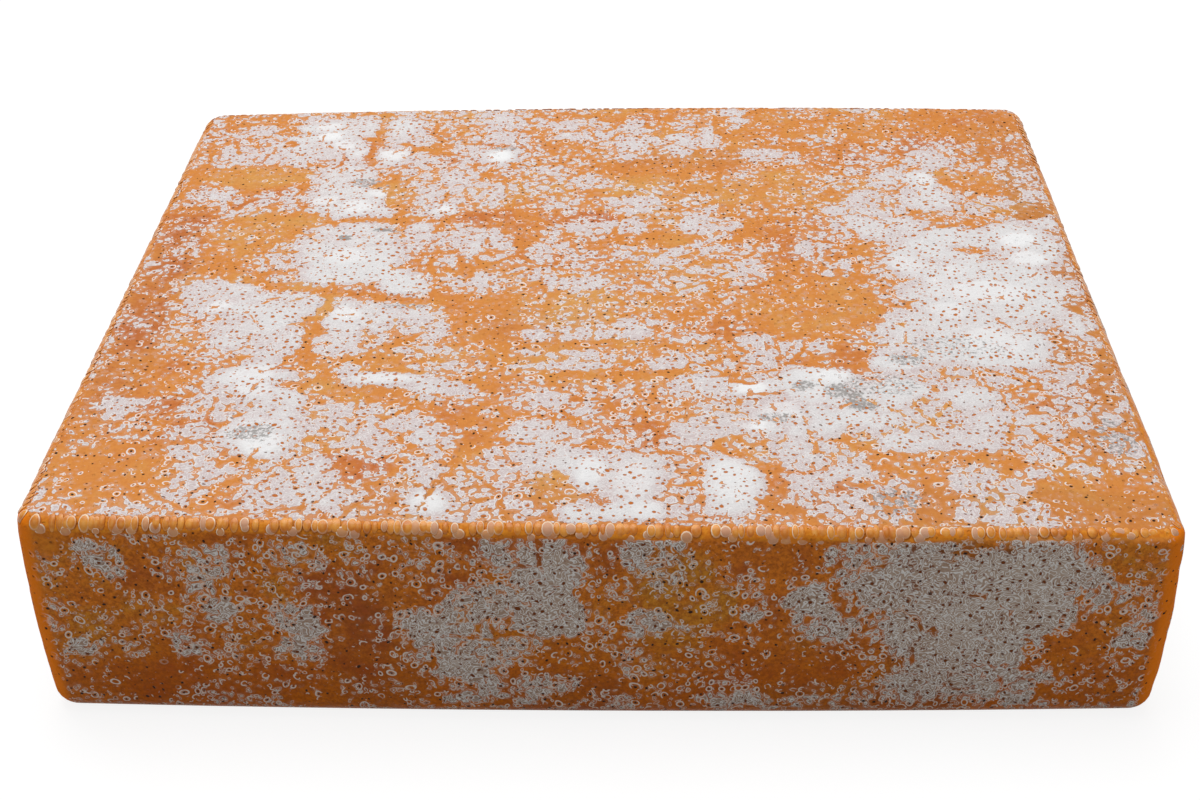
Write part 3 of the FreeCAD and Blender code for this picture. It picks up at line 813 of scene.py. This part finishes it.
# Half the height of the band of beads, by distance along the ring from the front left corner.
BAND_ALONG = [0, 12, 50, 220, 280, 300, 330]
BAND_HALF = [2.6, 2.2, 1.75, 1.85, 1.25, 1.2, 1.7]
BAND_TOP = 0.92 * TOP_RIM * math.pi / 2
WORN_RISE, WORN_FALL = (262, 285), (310, 300)  # where the front's beads are worn, likewise
OUTLINED, FILLED, GAPS = 0.38, 0.35, 0.10  # shares of the beads


def scatter_beads(side, spacing, low):
    """Set beads along one side of the rim, about one to each spacing, with some gaps.

    High beads sit on the rim's turn and nearly touch. Low ones lie flatter over the wall's
    edge. The front's are worn down at its right end, and the other sides' are lower. Columns:
    along, over, half width, half height, proud, pale and line, where pale is how much bloom
    has filled the bead and line how strong its collar is.
    """
    front = side == 0
    start, length = side_starts[side], side_lengths[side]
    chance = np.random.default_rng(5 + side + 10 * low)
    count = int(length / (spacing * (1.0 if front else 1.15)))

    def spread(least, most):
        return chance.uniform(least, most, count)

    gaps = spread(0.6, 1.4) * np.where(chance.random(count) < GAPS, 1.8, 1.0)
    along = start + np.cumsum(gaps) / gaps.sum() * (length - 1)
    half_band = np.interp(along, BAND_ALONG, BAND_HALF)
    if low:
        wide = spread(0.9, 1.9)
        over = BAND_TOP - 2 * half_band - spread(-0.9, 0.6)
        tall = wide * spread(0.8, 1.1)
        return np.stack([along, over, wide, tall, spread(0.20, 0.38), spread(0.4, 1.0), spread(0.5, 1.0)], 1)
    outlined = chance.random(count) < OUTLINED
    wide = spread(0.8, 1.5) * np.where(outlined, 1.2, 1.0)
    filled = outlined & (chance.random(count) < FILLED)
    worn_end = smooth(along, *WORN_RISE) * smooth(along, *WORN_FALL)
    proud = (spread(0.28, 0.50) + 0.10 * outlined) * (1.0 if front else 0.6) * (1 - 0.5 * worn_end)
    over = BAND_TOP - half_band * spread(0.9, 1.2)
    tall = half_band * spread(0.9, 1.3)
    pale = np.where(filled, spread(0.5, 0.9), 0.0)
    line = np.where(outlined, spread(0.6, 1.0), spread(0.0, 0.25)) * (1 - 0.6 * worn_end)
    return np.stack([along, over, wide, tall, proud, pale, line], 1)


beads = np.concatenate([
    scatter_beads(side, spacing, low)
    for side in range(4) for spacing, low in ((HIGH_SPACING, False), (LOW_SPACING, True))])
print(len(beads), "beads")

# %% Put all the beads into one mesh
along, over, wide, tall, proud, pale, line = (column[:, None] for column in beads.T)
bead_points = on_the_rim(along + wide * ball[:, 0], over + tall * ball[:, 1], proud * ball[:, 2])
edge = np.hypot(ball[:, 0], ball[:, 1])
edge[-1] = 1.0
# upper is highest on the side of a bead that lies up over the rim; the material paints a highlight there.
upper = 0.5 + 0.5 * (ball[:, 1] - 0.6 * ball[:, 0])
all_faces = [[corner + k * len(ball) for corner in face] for k in range(len(beads)) for face in faces]
fields = {"edge": edge, "pale": pale, "line": line, "upper": upper}
fields = {name: np.broadcast_to(values, (len(beads), len(ball))).ravel() for name, values in fields.items()}
rim_beads = new_piece("rim_beads", bead_points.reshape(-1, 3), all_faces, fields)
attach(rim_beads, "root")
print("the beads have", len(all_faces), "faces in all")

# %% [markdown]
# ## Arithmetic for materials
#
# A mould's pattern is sums and thresholds of noise. Written node by node, that is long and hard
# to read. This small class lets an ordinary formula such as `level * 0.5 + grain` write the Math
# nodes for us. All patterns are worked out in millimetres, from the object's own coordinates.

# %% Let formulas write nodes


def join(value, socket):
    """Link a field or a socket to an input, or write a plain number or colour there."""
    if isinstance(value, Field):
        value = value.socket
    if isinstance(value, bpy.types.NodeSocket):
        socket.id_data.links.new(value, socket)
    elif socket.type == "RGBA":
        socket.default_value = (*value, 1.0)
    else:
        socket.default_value = value


def add(tree, kind, inputs=None, **settings):
    """Add a node, apply its settings and join its inputs, which are named or numbered."""
    made = tree.nodes.new(kind)
    for name, value in settings.items():
        setattr(made, name, value)
    for name, value in (inputs or {}).items():
        join(value, made.inputs[name])
    return made


class Field:
    """A value that changes over the skin. + - * and the methods add Math nodes to its tree."""

    def __init__(self, socket):
        self.socket = socket
        self.tree = socket.id_data

    def math(self, operation, *others, clamp=False):
        values = dict(enumerate((self, *others)))
        made = add(self.tree, "ShaderNodeMath", values, operation=operation, use_clamp=clamp)
        return Field(made.outputs[0])

    def __add__(self, other):
        return self.math("ADD", other)

    def __sub__(self, other):
        return self.math("SUBTRACT", other)

    def __mul__(self, other):
        return self.math("MULTIPLY", other)

    def __neg__(self):
        return self.math("MULTIPLY", -1.0)

    __radd__ = __add__
    __rmul__ = __mul__

    def __rsub__(self, other):
        return -self + other

    def size(self):
        """Distance from zero, whichever the sign."""
        return self.math("ABSOLUTE")

    def most(self, other):
        """The larger of two values."""
        return self.math("MAXIMUM", other)

    def kept(self):
        """The value cut to lie between 0 and 1."""
        return self.math("ADD", 0.0, clamp=True)

    def step(self, start, end):
        """Go smoothly from 0 at start to 1 at end."""
        if start > end:
            return 1.0 - self.step(end, start)
        ends = {"Value": self, "From Min": start, "From Max": end}
        made = add(self.tree, "ShaderNodeMapRange", ends, interpolation_type="SMOOTHSTEP")
        return Field(made.outputs["Result"])

    def dye(self, first, second):
        """Blend two colours: the first where the value is 0, the second where it is 1."""
        made = add(self.tree, "ShaderNodeMix", {0: self, 6: first, 7: second}, data_type="RGBA")
        return made.outputs[2]


def coats(surface, layers):
    """Lay colours over a surface in order. Each layer is its mask and its colour."""
    for mask, colour in layers:
        surface = mask.dye(surface, colour)
    return surface


# %% Two textures
def noise(place, per_mm, detail=2.0, rough=0.5):
    """Smooth noise with lumps of 1 / per_mm, from 0 to 1 with its middle near 0.5."""
    inputs = {"Vector": place, "Scale": per_mm, "Detail": detail, "Roughness": rough}
    return Field(add(place.id_data, "ShaderNodeTexNoise", inputs).outputs["Fac"])


def cells(place, per_mm, feature="F1"):
    """Scatter points on the sheet, 1 / per_mm apart: distance, random colour and position."""
    inputs = {"Vector": place, "Scale": per_mm, "Randomness": 1.0}
    return add(place.id_data, "ShaderNodeTexVoronoi", inputs, feature=feature,
               voronoi_dimensions="2D").outputs


# %% Start a group of nodes


def new_group(name, inputs, outputs):
    """Make a node group. Inputs and outputs are given as name: kind of socket."""
    tree = bpy.data.node_groups.new(name, "ShaderNodeTree")
    for way, sockets in (("INPUT", inputs), ("OUTPUT", outputs)):
        for label, kind in sockets.items():
            tree.interface.new_socket(label, in_out=way, socket_type="NodeSocket" + kind)
    given = tree.nodes.new("NodeGroupInput")
    taken = {label: given.outputs[label] if kind != "Float" else Field(given.outputs[label])
             for label, kind in inputs.items()}
    return tree, taken


def finish_group(tree, results):
    """Join the results, given as name: value, to the group's outputs."""
    add(tree, "NodeGroupOutput", results)
    print(tree.name, "has", len(tree.nodes), "nodes")
    return tree


def place_group(tree, group, inputs):
    """Place a group in a material. Returns its outputs by name, values as fields."""
    made = add(tree, "ShaderNodeGroup", node_tree=group)
    for name, value in inputs.items():
        join(value, made.inputs[name])
    return {socket.name: Field(socket) for socket in made.outputs}


# %% [markdown]
# ## Two patterns of a washed rind
#
# **Dry bloom** is a thin sheet made of many round colonies run together. A level is worked out
# first: how much bloom is wanted here, plus small discs, plus a little grain. Where the level
# passes a half there is bloom. So its edge is lobed like a coast of small discs, a thin sheet
# keeps star-shaped gaps between its discs, and a sparse one is single dots. Just inside the edge
# the bloom curls up, and shows as a brighter line.
#
# ** Pores and rings** come from one scatter of points. A point may be the middle of a pore, which
# is a small hole, its dark colour painted shade inside it, and of a ring: a young colony that has
# grown outwards and left its middle bare. Many rings are broken to arcs.

# %% Dry bloom


def make_bloom_group():
    """level = amount + discs + grain - cracks; cover is where it passes 0.5, edge just inside.

    Foam is the line where the level passes a third: outlines round discs that have not closed.
    """
    tree, taken = new_group(
        "Dry bloom", {"Place": "Vector", "Amount": "Float", "Discs": "Float"},
        {"Cover": "Float", "Edge": "Float", "Foam": "Float", "Level": "Float"})
    place = taken["Place"]
    discs, small = (0.43 - Field(cells(place, per_mm)["Distance"]) for per_mm in (0.37, 0.85))
    grain = noise(place, 1.1, 1.0) - 0.5
    level = taken["Amount"] + discs * taken["Discs"] + small * 0.22 + grain * 0.15
    where = noise(place, 0.045, 1.0)
    to_crack = Field(cells(place, 0.075, "DISTANCE_TO_EDGE")["Distance"])
    crack = (to_crack + grain * 0.05).step(0.07, 0.03) * where.step(0.42, 0.56)
    level = level - crack * 0.45
    cover = level.step(0.480, 0.520)
    edge = cover * level.step(0.66, 0.54)
    foam = (level - 0.33).size().step(0.05, 0.02)
    return finish_group(tree, {"Cover": cover, "Edge": edge, "Foam": foam, "Level": level})


bloom_group = make_bloom_group()

# %% Pores and rings


def make_speckle_group():
    """A hole is near a cell's own point; a ring is where the distance is near its own radius.

    The ring is cut to an arc: it stays where (place - point) . (own direction) / distance is
    over a limit, and the limit is different for each cell.
    """
    values = {name: "Float" for name in ("Per mm", "Hole radius", "Holes", "Rings", "Line")}
    outputs = {name: "Float" for name in ("Hole", "Ring", "Depth")}
    tree, taken = new_group("Pores and rings", {"Place": "Vector", **values}, outputs)
    place, per_mm = taken["Place"], taken["Per mm"]
    scatter = cells(place, per_mm)
    own = add(tree, "ShaderNodeSeparateColor", {0: scatter["Color"]})
    chance, own_size, other = (Field(socket) for socket in own.outputs)
    far = Field(scatter["Distance"]).math("DIVIDE", per_mm)
    hole_radius = taken["Hole radius"] * (own_size * 0.8 + 0.6)
    hole = (hole_radius - far).step(-0.08, 0.16) * (taken["Holes"] - chance).step(-0.02, 0.02)

    away, heading = (
        add(tree, "ShaderNodeVectorMath", {0: first, 1: second}, operation="SUBTRACT").outputs[0]
        for first, second in ((place, scatter["Position"]), (scatter["Color"], (0.5, 0.5, 0.5))))
    ahead = add(tree, "ShaderNodeVectorMath", {0: away, 1: heading}, operation="DOT_PRODUCT")
    ahead = Field(ahead.outputs["Value"]).math("DIVIDE", far + 0.05)
    radius = (own_size * 0.28 + 0.15).math("DIVIDE", per_mm)
    ring = (far - radius).size().math("DIVIDE", taken["Line"]).step(1.25, 0.6)
    ring = ring * (taken["Rings"] - other).step(-0.02, 0.02)
    ring = ring * (ahead + chance * 0.7 - 0.12).step(-0.05, 0.05)
    return finish_group(tree, {"Hole": hole, "Ring": ring, "Depth": chance * 1.6})


speckle_group = make_speckle_group()

# %% Waxy rind


def make_rind_group():
    """Blend ochre, orange and red-brown by tint, with a finer mottle, grain and dark veins.

    Depth goes from the pale top (0) to the deeper walls (1), which are richest low down.
    """
    tree, taken = new_group(
        "Waxy rind", {"Place": "Vector", "Tint": "Float", "Depth": "Float"}, {"Colour": "Color"})
    place, depth = taken["Place"], taken["Depth"]
    low_down = Field(add(tree, "ShaderNodeSeparateXYZ", {0: place}).outputs["Z"]).step(48.0, 4.0)
    mottle = (noise(place, 0.09, 3.0, 0.6) - 0.5) * (depth * 0.6 + 0.9)
    grain = (noise(place, 0.9, 2.0, 0.65) - 0.5) * 0.31
    tone = taken["Tint"] + mottle + grain
    to_orange, to_brown = tone.step(0.05, 0.5), tone.step(0.5, 1.0)
    light = to_orange.dye((0.70, 0.350, 0.094), (0.705, 0.264, 0.054))
    light = to_brown.dye(light, (0.55, 0.150, 0.036))
    deep = to_orange.dye((0.71, 0.290, 0.028), (0.81, 0.232, 0.019))
    deep = to_brown.dye(deep, (0.46, 0.10, 0.02))
    deep = low_down.dye(deep, tone.dye((0.72, 0.200, 0.004), (0.46, 0.085, 0.004)))
    fine = noise(place, 0.8, 2.0, 0.75).step(0.325, 0.675) * (depth * 0.40 + 0.28)
    darker = depth.dye((0.50, 0.14, 0.03), (0.34, 0.08, 0.006))
    return finish_group(tree, {"Colour": fine.dye(depth.dye(light, deep), darker)})


rind_group = make_rind_group()

# %% [markdown]
# ## The rind's material
#
# The layers go on in the order in which they grew: waxy rind, a thin pinkish veil, rings, the dry
# bloom, cotton on top, and grey where the bloom has aged. Pores go through all of them. Bloom is
# dry and matt, bare rind has a satin shine. The coat and the large pores also drive the bump,
# because the coat has a thickness and the pores are deep.

# %% Read the skin's own fields


def empty_tree(owner):
    """Switch a material or world to nodes and return its emptied node tree."""
    owner.use_nodes = True
    owner.node_tree.nodes.clear()
    return owner.node_tree


def new_material(name):
    """Start a material with only its shader and its output."""
    material = bpy.data.materials.new(name)
    tree = empty_tree(material)
    shader = add(tree, "ShaderNodeBsdfPrincipled")
    add(tree, "ShaderNodeOutputMaterial", {0: shader.outputs[0]})
    return material, tree, shader


def in_mm(tree, place):
    """Turn metres into millimetres."""
    return add(tree, "ShaderNodeVectorMath", {0: place, "Scale": 1 / MM}, operation="SCALE").outputs[0]


def wavering(tree, place, per_mm, reach):
    """Shift a place by a fine colour noise, so that no circle is round and no line is fair."""
    spread = add(tree, "ShaderNodeTexNoise",
                 {"Vector": place, "Scale": per_mm, "Detail": 0.0}).outputs["Color"]
    inputs = {0: spread, 1: (reach, reach, 0), 2: place}
    return add(tree, "ShaderNodeVectorMath", inputs, operation="MULTIPLY_ADD").outputs[0]


def painted(tree, *labels):
    """Read point attributes of the mesh as fields."""
    return [Field(add(tree, "ShaderNodeAttribute", attribute_name=label).outputs["Fac"])
            for label in labels]


def finish_material(material, shader, colour, roughness, shine, height, strength):
    """Join the colour, the roughness and the bump (a height in mm), and set the shine."""
    join(colour, shader.inputs["Base Color"])
    join(roughness, shader.inputs["Roughness"])
    shader.inputs["Specular IOR Level"].default_value = shine
    inputs = {"Height": height * MM, "Distance": 1.0, "Strength": strength}
    join(add(material.node_tree, "ShaderNodeBump", inputs).outputs[0], shader.inputs["Normal"])
    print(material.name, "has", len(material.node_tree.nodes), "nodes")
    return material


# %% Build the rind's material


def make_rind_material():
    """Layer the patterns over one another; each layer's mask blends its colour over the last."""
    material, tree, shader = new_material("washed_rind")
    place = in_mm(tree, add(tree, "ShaderNodeTexCoord").outputs["Object"])
    flat = in_mm(tree, add(tree, "ShaderNodeUVMap", uv_map="unrolled").outputs[0])
    waver = wavering(tree, flat, 0.5, 1.2)
    gentle = wavering(tree, flat, 0.22, 1.6)
    amount, own_tint, fluff, aged, rim, wall_share, corner_wear_and_glow, to_hairline, dark_patch = painted(
        tree, "bloom", "tint", "cotton", "grey", "rim", "wall", "corner", "hairline", "dark_patch")
    off_rim = 1.0 - rim

    # The patterns: the coat of bloom, worm-like lines in it, and large and little speckles.
    grown = amount - wall_share * 0.15
    layer = place_group(tree, bloom_group, {"Place": waver, "Amount": grown, "Discs": 0.95})
    cover, border, level = layer["Cover"], layer["Edge"], layer["Level"]
    open_rind = 1.0 - cover
    bare_skin = open_rind * off_rim
    worms = (noise(waver, 0.72, 0.0) * 4.2).math("FRACT")
    worms = (worms - 0.5).size().step(0.24, 0.09)
    large = place_group(tree, speckle_group, {
        "Place": gentle, "Per mm": 0.34, "Holes": 0.78, "Line": 0.21,
        "Hole radius": cover * (0.12 - wall_share * 0.06) + 0.33,
        "Rings": (amount * (wall_share * 0.5 + 0.6) + wall_share * 0.12 + 0.05).kept()})
    little = place_group(tree, speckle_group, {
        "Place": waver, "Per mm": 0.56, "Holes": 0.40, "Line": 0.17, "Hole radius": 0.30,
        "Rings": (amount * (wall_share * 0.3 + 0.4) + wall_share * 0.05 + 0.06).kept()})
    fleck = (noise(place, 0.6, 2.0, 0.7) - 0.5) * 0.87

    # The open rind: darker brown patches, a pinkish veil, rings, pale dots, the amber rim, and the
    # bare upright corners, painted bright orange as a painted glow of light.
    bare = place_group(tree, rind_group, {"Place": place, "Tint": own_tint, "Depth": wall_share})
    between = grown.step(0.45, 0.85) * wall_share * 0.45
    veil = level.step(0.0, 0.5) * (open_rind * 0.30)
    lines = (large["Ring"] * 0.9).most(little["Ring"] * 0.8)
    lines = lines.most(layer["Foam"] * (wall_share * 0.5 + 0.1)) * bare_skin
    dots = noise(waver, 1.0, 1.0).step(0.70, 0.74) * bare_skin
    band = fleck.step(-0.12, 0.12).dye((0.66, 0.19, 0.014), (0.80, 0.28, 0.022))
    surface = coats(bare["Colour"].socket, [
        # Darker brown patches on the bare rind, and on the walls in the gaps of dense bloom; darker on the
        # walls.
        ((dark_patch + fleck * dark_patch + between).kept(), wall_share.dye((0.32, 0.13, 0.05), (0.15, 0.050, 0.016))),
        (veil, (0.66, 0.40, 0.30)),
        (lines, wall_share.dye((0.84, 0.78, 0.75), (0.86, 0.77, 0.69))),
        (dots * (0.75 - wall_share * 0.35), (0.80, 0.72, 0.68)),
        (rim, band),
        # The bare upright corners are painted bright orange: a painted glow of light.
        (corner_wear_and_glow * open_rind, (0.98, 0.24, 0.004))])

    # The bloom: thin or thick, with flecks, threads, cotton and dirt.
    thick = (amount + fleck * 0.9 - wall_share * 0.1).step(0.68, 1.22)
    fibres = (border * 0.8).most(worms * (wall_share * 0.35 + 0.55))
    dirt = (aged * 0.46 + noise(waver, 0.9, 2.0, 0.6)).step(0.62, 0.82) * aged.step(0.05, 0.3)
    white = coats(wall_share.dye((0.625, 0.525, 0.515), (0.45, 0.300, 0.215)), [
        (thick, wall_share.dye((0.72, 0.71, 0.71), (0.62, 0.51, 0.42))),
        ((fleck * 2.0).kept(), (0.58, 0.49, 0.46)),
        (fibres, wall_share.dye((0.85, 0.83, 0.82), (0.92, 0.90, 0.87))),
        (fluff * 0.9, (0.88, 0.88, 0.88)),
        (dirt * 0.7, (0.20, 0.18, 0.16))])

    # The pores and the hairlines. In the bloom the pores show the rind, painted darker as shade inside
    # them, darkest in deep pores and on the walls. In the open rind they are painted near black, as
    # painted shade. The hairlines are dark lines: painted shade in creases and cracks, and darker
    # rind in scratches.
    pore_rind_and_shade = wall_share.dye((0.56, 0.165, 0.035), (0.22, 0.06, 0.015))
    # Painted shade: deep pores are painted dark brown.
    pore_rind_and_shade = large["Depth"].step(1.38, 1.48).dye(pore_rind_and_shade, (0.13, 0.04, 0.015))
    pores_in_bloom = large["Hole"].most(little["Hole"] * 0.8) * cover * (1.0 - fluff.step(0.5, 0.9))
    # Painted shade: pores in the open rind are painted near black.
    dark_holes = large["Hole"].step(0.5, 0.95) * large["Depth"].step(0.45, 0.5) * bare_skin
    # A dark brown line along the hairlines: painted shade in creases and cracks, darker rind in scratches.
    crack = (to_hairline + fleck * 0.3).step(0.42, 0.2) * (fleck + 0.55).step(0.35, 0.6)
    surface = coats(surface, [
        (cover, white), (pores_in_bloom, pore_rind_and_shade), (dark_holes, (0.04, 0.014, 0.006)),
        (crack * 0.6, (0.24, 0.12, 0.07))])

    roughness = cover * 0.40 + lines * 0.2 + corner_wear_and_glow * 0.3 - rim * 0.12 + 0.46
    lumps = noise(place, 0.28, 2.0, 0.6) * (wall_share * 0.28 + 0.26)
    rough = noise(place, 0.9, 1.0, 0.6) * (cover * 0.25 + wall_share * 0.08 + 0.06)
    height = lumps + rough + cover * 0.10 - large["Hole"] * 0.25
    return finish_material(material, shader, surface, roughness, shine=0.1, height=height, strength=0.9)


rind.data.materials.append(make_rind_material())

# %% [markdown]
# ## The beads' material
#
# A bead is clear amber wax over the rind. It is painted paler on its dome, a painted highlight,
# and darker at its foot, painted shade in the gaps. A thin pale ring runs where it meets the
# rind, stronger on its upper side, where it is a painted highlight. The low ones have already
# caught some bloom.

# %% Build the beads' material


def make_bead_material():
    """Amber by the dome's height: a painted highlight on the dome, painted shade at the foot, a pale
    ring near the waterline that is stronger on its upper side as a painted highlight, and a veil on
    pale beads.
    """
    material, tree, shader = new_material("amber_beads")
    place = in_mm(tree, add(tree, "ShaderNodeTexCoord").outputs["Object"])
    edge_share, pale_share, line_share, upper_share = painted(tree, "edge", "pale", "line", "upper")
    mottle = noise(place, 0.25, 3.0, 0.65)
    # A pale ring where the bead meets the rind, stronger on its upper side: there a painted highlight.
    collar_and_highlight = (edge_share - 0.80).size().step(0.13, 0.05) * (upper_share.step(0.15, 0.6) * 0.7 + 0.3)
    amber = coats(mottle.step(0.35, 0.65).dye((0.86, 0.34, 0.045), (0.66, 0.185, 0.012)), [
        # Painted highlight: the dome is painted paler toward its top.
        (edge_share.step(0.55, 0.0) * 0.25, (0.90, 0.55, 0.22)),
        # Painted shade: the foot is painted darker, in the gaps between beads.
        (edge_share.step(0.86, 1.0), (0.50, 0.13, 0.012)),
        (pale_share * edge_share.step(0.9, 0.7), (0.66, 0.36, 0.23)),
        (collar_and_highlight * line_share, (0.92, 0.78, 0.60))])
    height = noise(place, 1.4, 1.0) * 0.05
    roughness = pale_share * 0.22 + 0.32
    return finish_material(material, shader, amber, roughness, shine=0.4, height=height, strength=0.7)


rim_beads.data.materials.append(make_bead_material())

# %% [markdown]
# ## Floor, light and camera
#
# A pale floor and a white world. Seen directly, both are simply white. For all other light they
# are dimmer, so that the walls stay darker than the top, as they are under one broad lamp
# overhead. The floor still takes the slab's shadow.

# %% Lay the floor
FLOOR_SIZE = 6.0
floor_mesh = bpy.data.meshes.new("floor")
floor_corners = [(p * FLOOR_SIZE, q * FLOOR_SIZE, 0) for p, q in ((-1, -1), (1, -1), (1, 1), (-1, 1))]
floor_mesh.from_pydata(floor_corners, [], [(0, 1, 2, 3)])
floor = bpy.data.objects.new("floor", floor_mesh)
bpy.context.scene.collection.objects.link(floor)


def rays(tree, *kinds):
    """1 for rays of any of these kinds, 0 for all others."""
    seen = add(tree, "ShaderNodeLightPath")
    first, *others = (Field(seen.outputs[f"Is {kind} Ray"]) for kind in kinds)
    for other in others:
        first = first.most(other)
    return first


def make_floor_material():
    """White to the eye, mostly by its own glow; a matt grey to every other ray."""
    material = bpy.data.materials.new("pale_floor")
    tree = empty_tree(material)
    matt = add(tree, "ShaderNodeBsdfDiffuse", {"Color": (0.42, 0.42, 0.42)})
    glow = add(tree, "ShaderNodeEmission", {"Color": (1, 1, 1), "Strength": 0.86})
    paper = add(tree, "ShaderNodeBsdfDiffuse", {"Color": (0.2, 0.2, 0.2)})
    bright = add(tree, "ShaderNodeAddShader", {0: glow.outputs[0], 1: paper.outputs[0]})
    both = {0: rays(tree, "Camera", "Glossy", "Transmission"), 1: matt.outputs[0], 2: bright.outputs[0]}
    add(tree, "ShaderNodeOutputMaterial", {0: add(tree, "ShaderNodeMixShader", both).outputs[0]})
    return material


floor.data.materials.append(make_floor_material())
print("the floor is", 2 * FLOOR_SIZE, "m wide")

# %% Light the room
WORLD_LIGHT = 0.36


def light_the_world():
    """White where it is seen directly, and WORLD_LIGHT for the light it gives."""
    world = bpy.data.worlds.new("studio")
    bpy.context.scene.world = world
    tree = empty_tree(world)
    strength = rays(tree, "Camera", "Transmission") * (1 - WORLD_LIGHT) + WORLD_LIGHT
    background = add(tree, "ShaderNodeBackground", {"Color": (1, 1, 1), "Strength": strength})
    add(tree, "ShaderNodeOutputWorld", {0: background.outputs[0]})


def hang_lamp(name, place, aim, size, watts):
    """Hang a square soft lamp at a place in metres, facing a point."""
    lamp = bpy.data.lights.new(name, "AREA")
    lamp.shape = "SQUARE"
    lamp.size = size
    lamp.energy = watts
    holder = bpy.data.objects.new(name, lamp)
    bpy.context.scene.collection.objects.link(holder)
    holder.location = place
    holder.rotation_euler = (Vector(aim) - Vector(place)).to_track_quat("-Z", "Y").to_euler()


light_the_world()
hang_lamp("broad_lamp", place=(-0.15, 0.35, 1.5), aim=(0, 0, 0.03), size=1.2, watts=19.0)
print("lit by the world and one broad lamp")

# %% Set the camera
CAMERA_PLACE = (0.01156, -0.49796, 0.34342)
CAMERA_DOWN, CAMERA_LEFT, CAMERA_ROLL = 33.05, 1.59, -0.81
CAMERA_LENS, CAMERA_SENSOR = 54.74, 36.0


def set_camera():
    """Turn the camera left about the vertical, then down, then roll it about its own line."""
    data = bpy.data.cameras.new("camera")
    data.sensor_width = CAMERA_SENSOR
    data.lens = CAMERA_LENS
    camera = bpy.data.objects.new("camera", data)
    bpy.context.scene.collection.objects.link(camera)
    turn = (Matrix.Rotation(math.radians(CAMERA_LEFT), 4, "Z")
            @ Matrix.Rotation(math.radians(90 - CAMERA_DOWN), 4, "X")
            @ Matrix.Rotation(math.radians(CAMERA_ROLL), 4, "Z"))
    camera.matrix_world = Matrix.Translation(CAMERA_PLACE) @ turn
    bpy.context.scene.camera = camera


set_camera()
view = bpy.context.scene.view_settings
view.view_transform = "Standard"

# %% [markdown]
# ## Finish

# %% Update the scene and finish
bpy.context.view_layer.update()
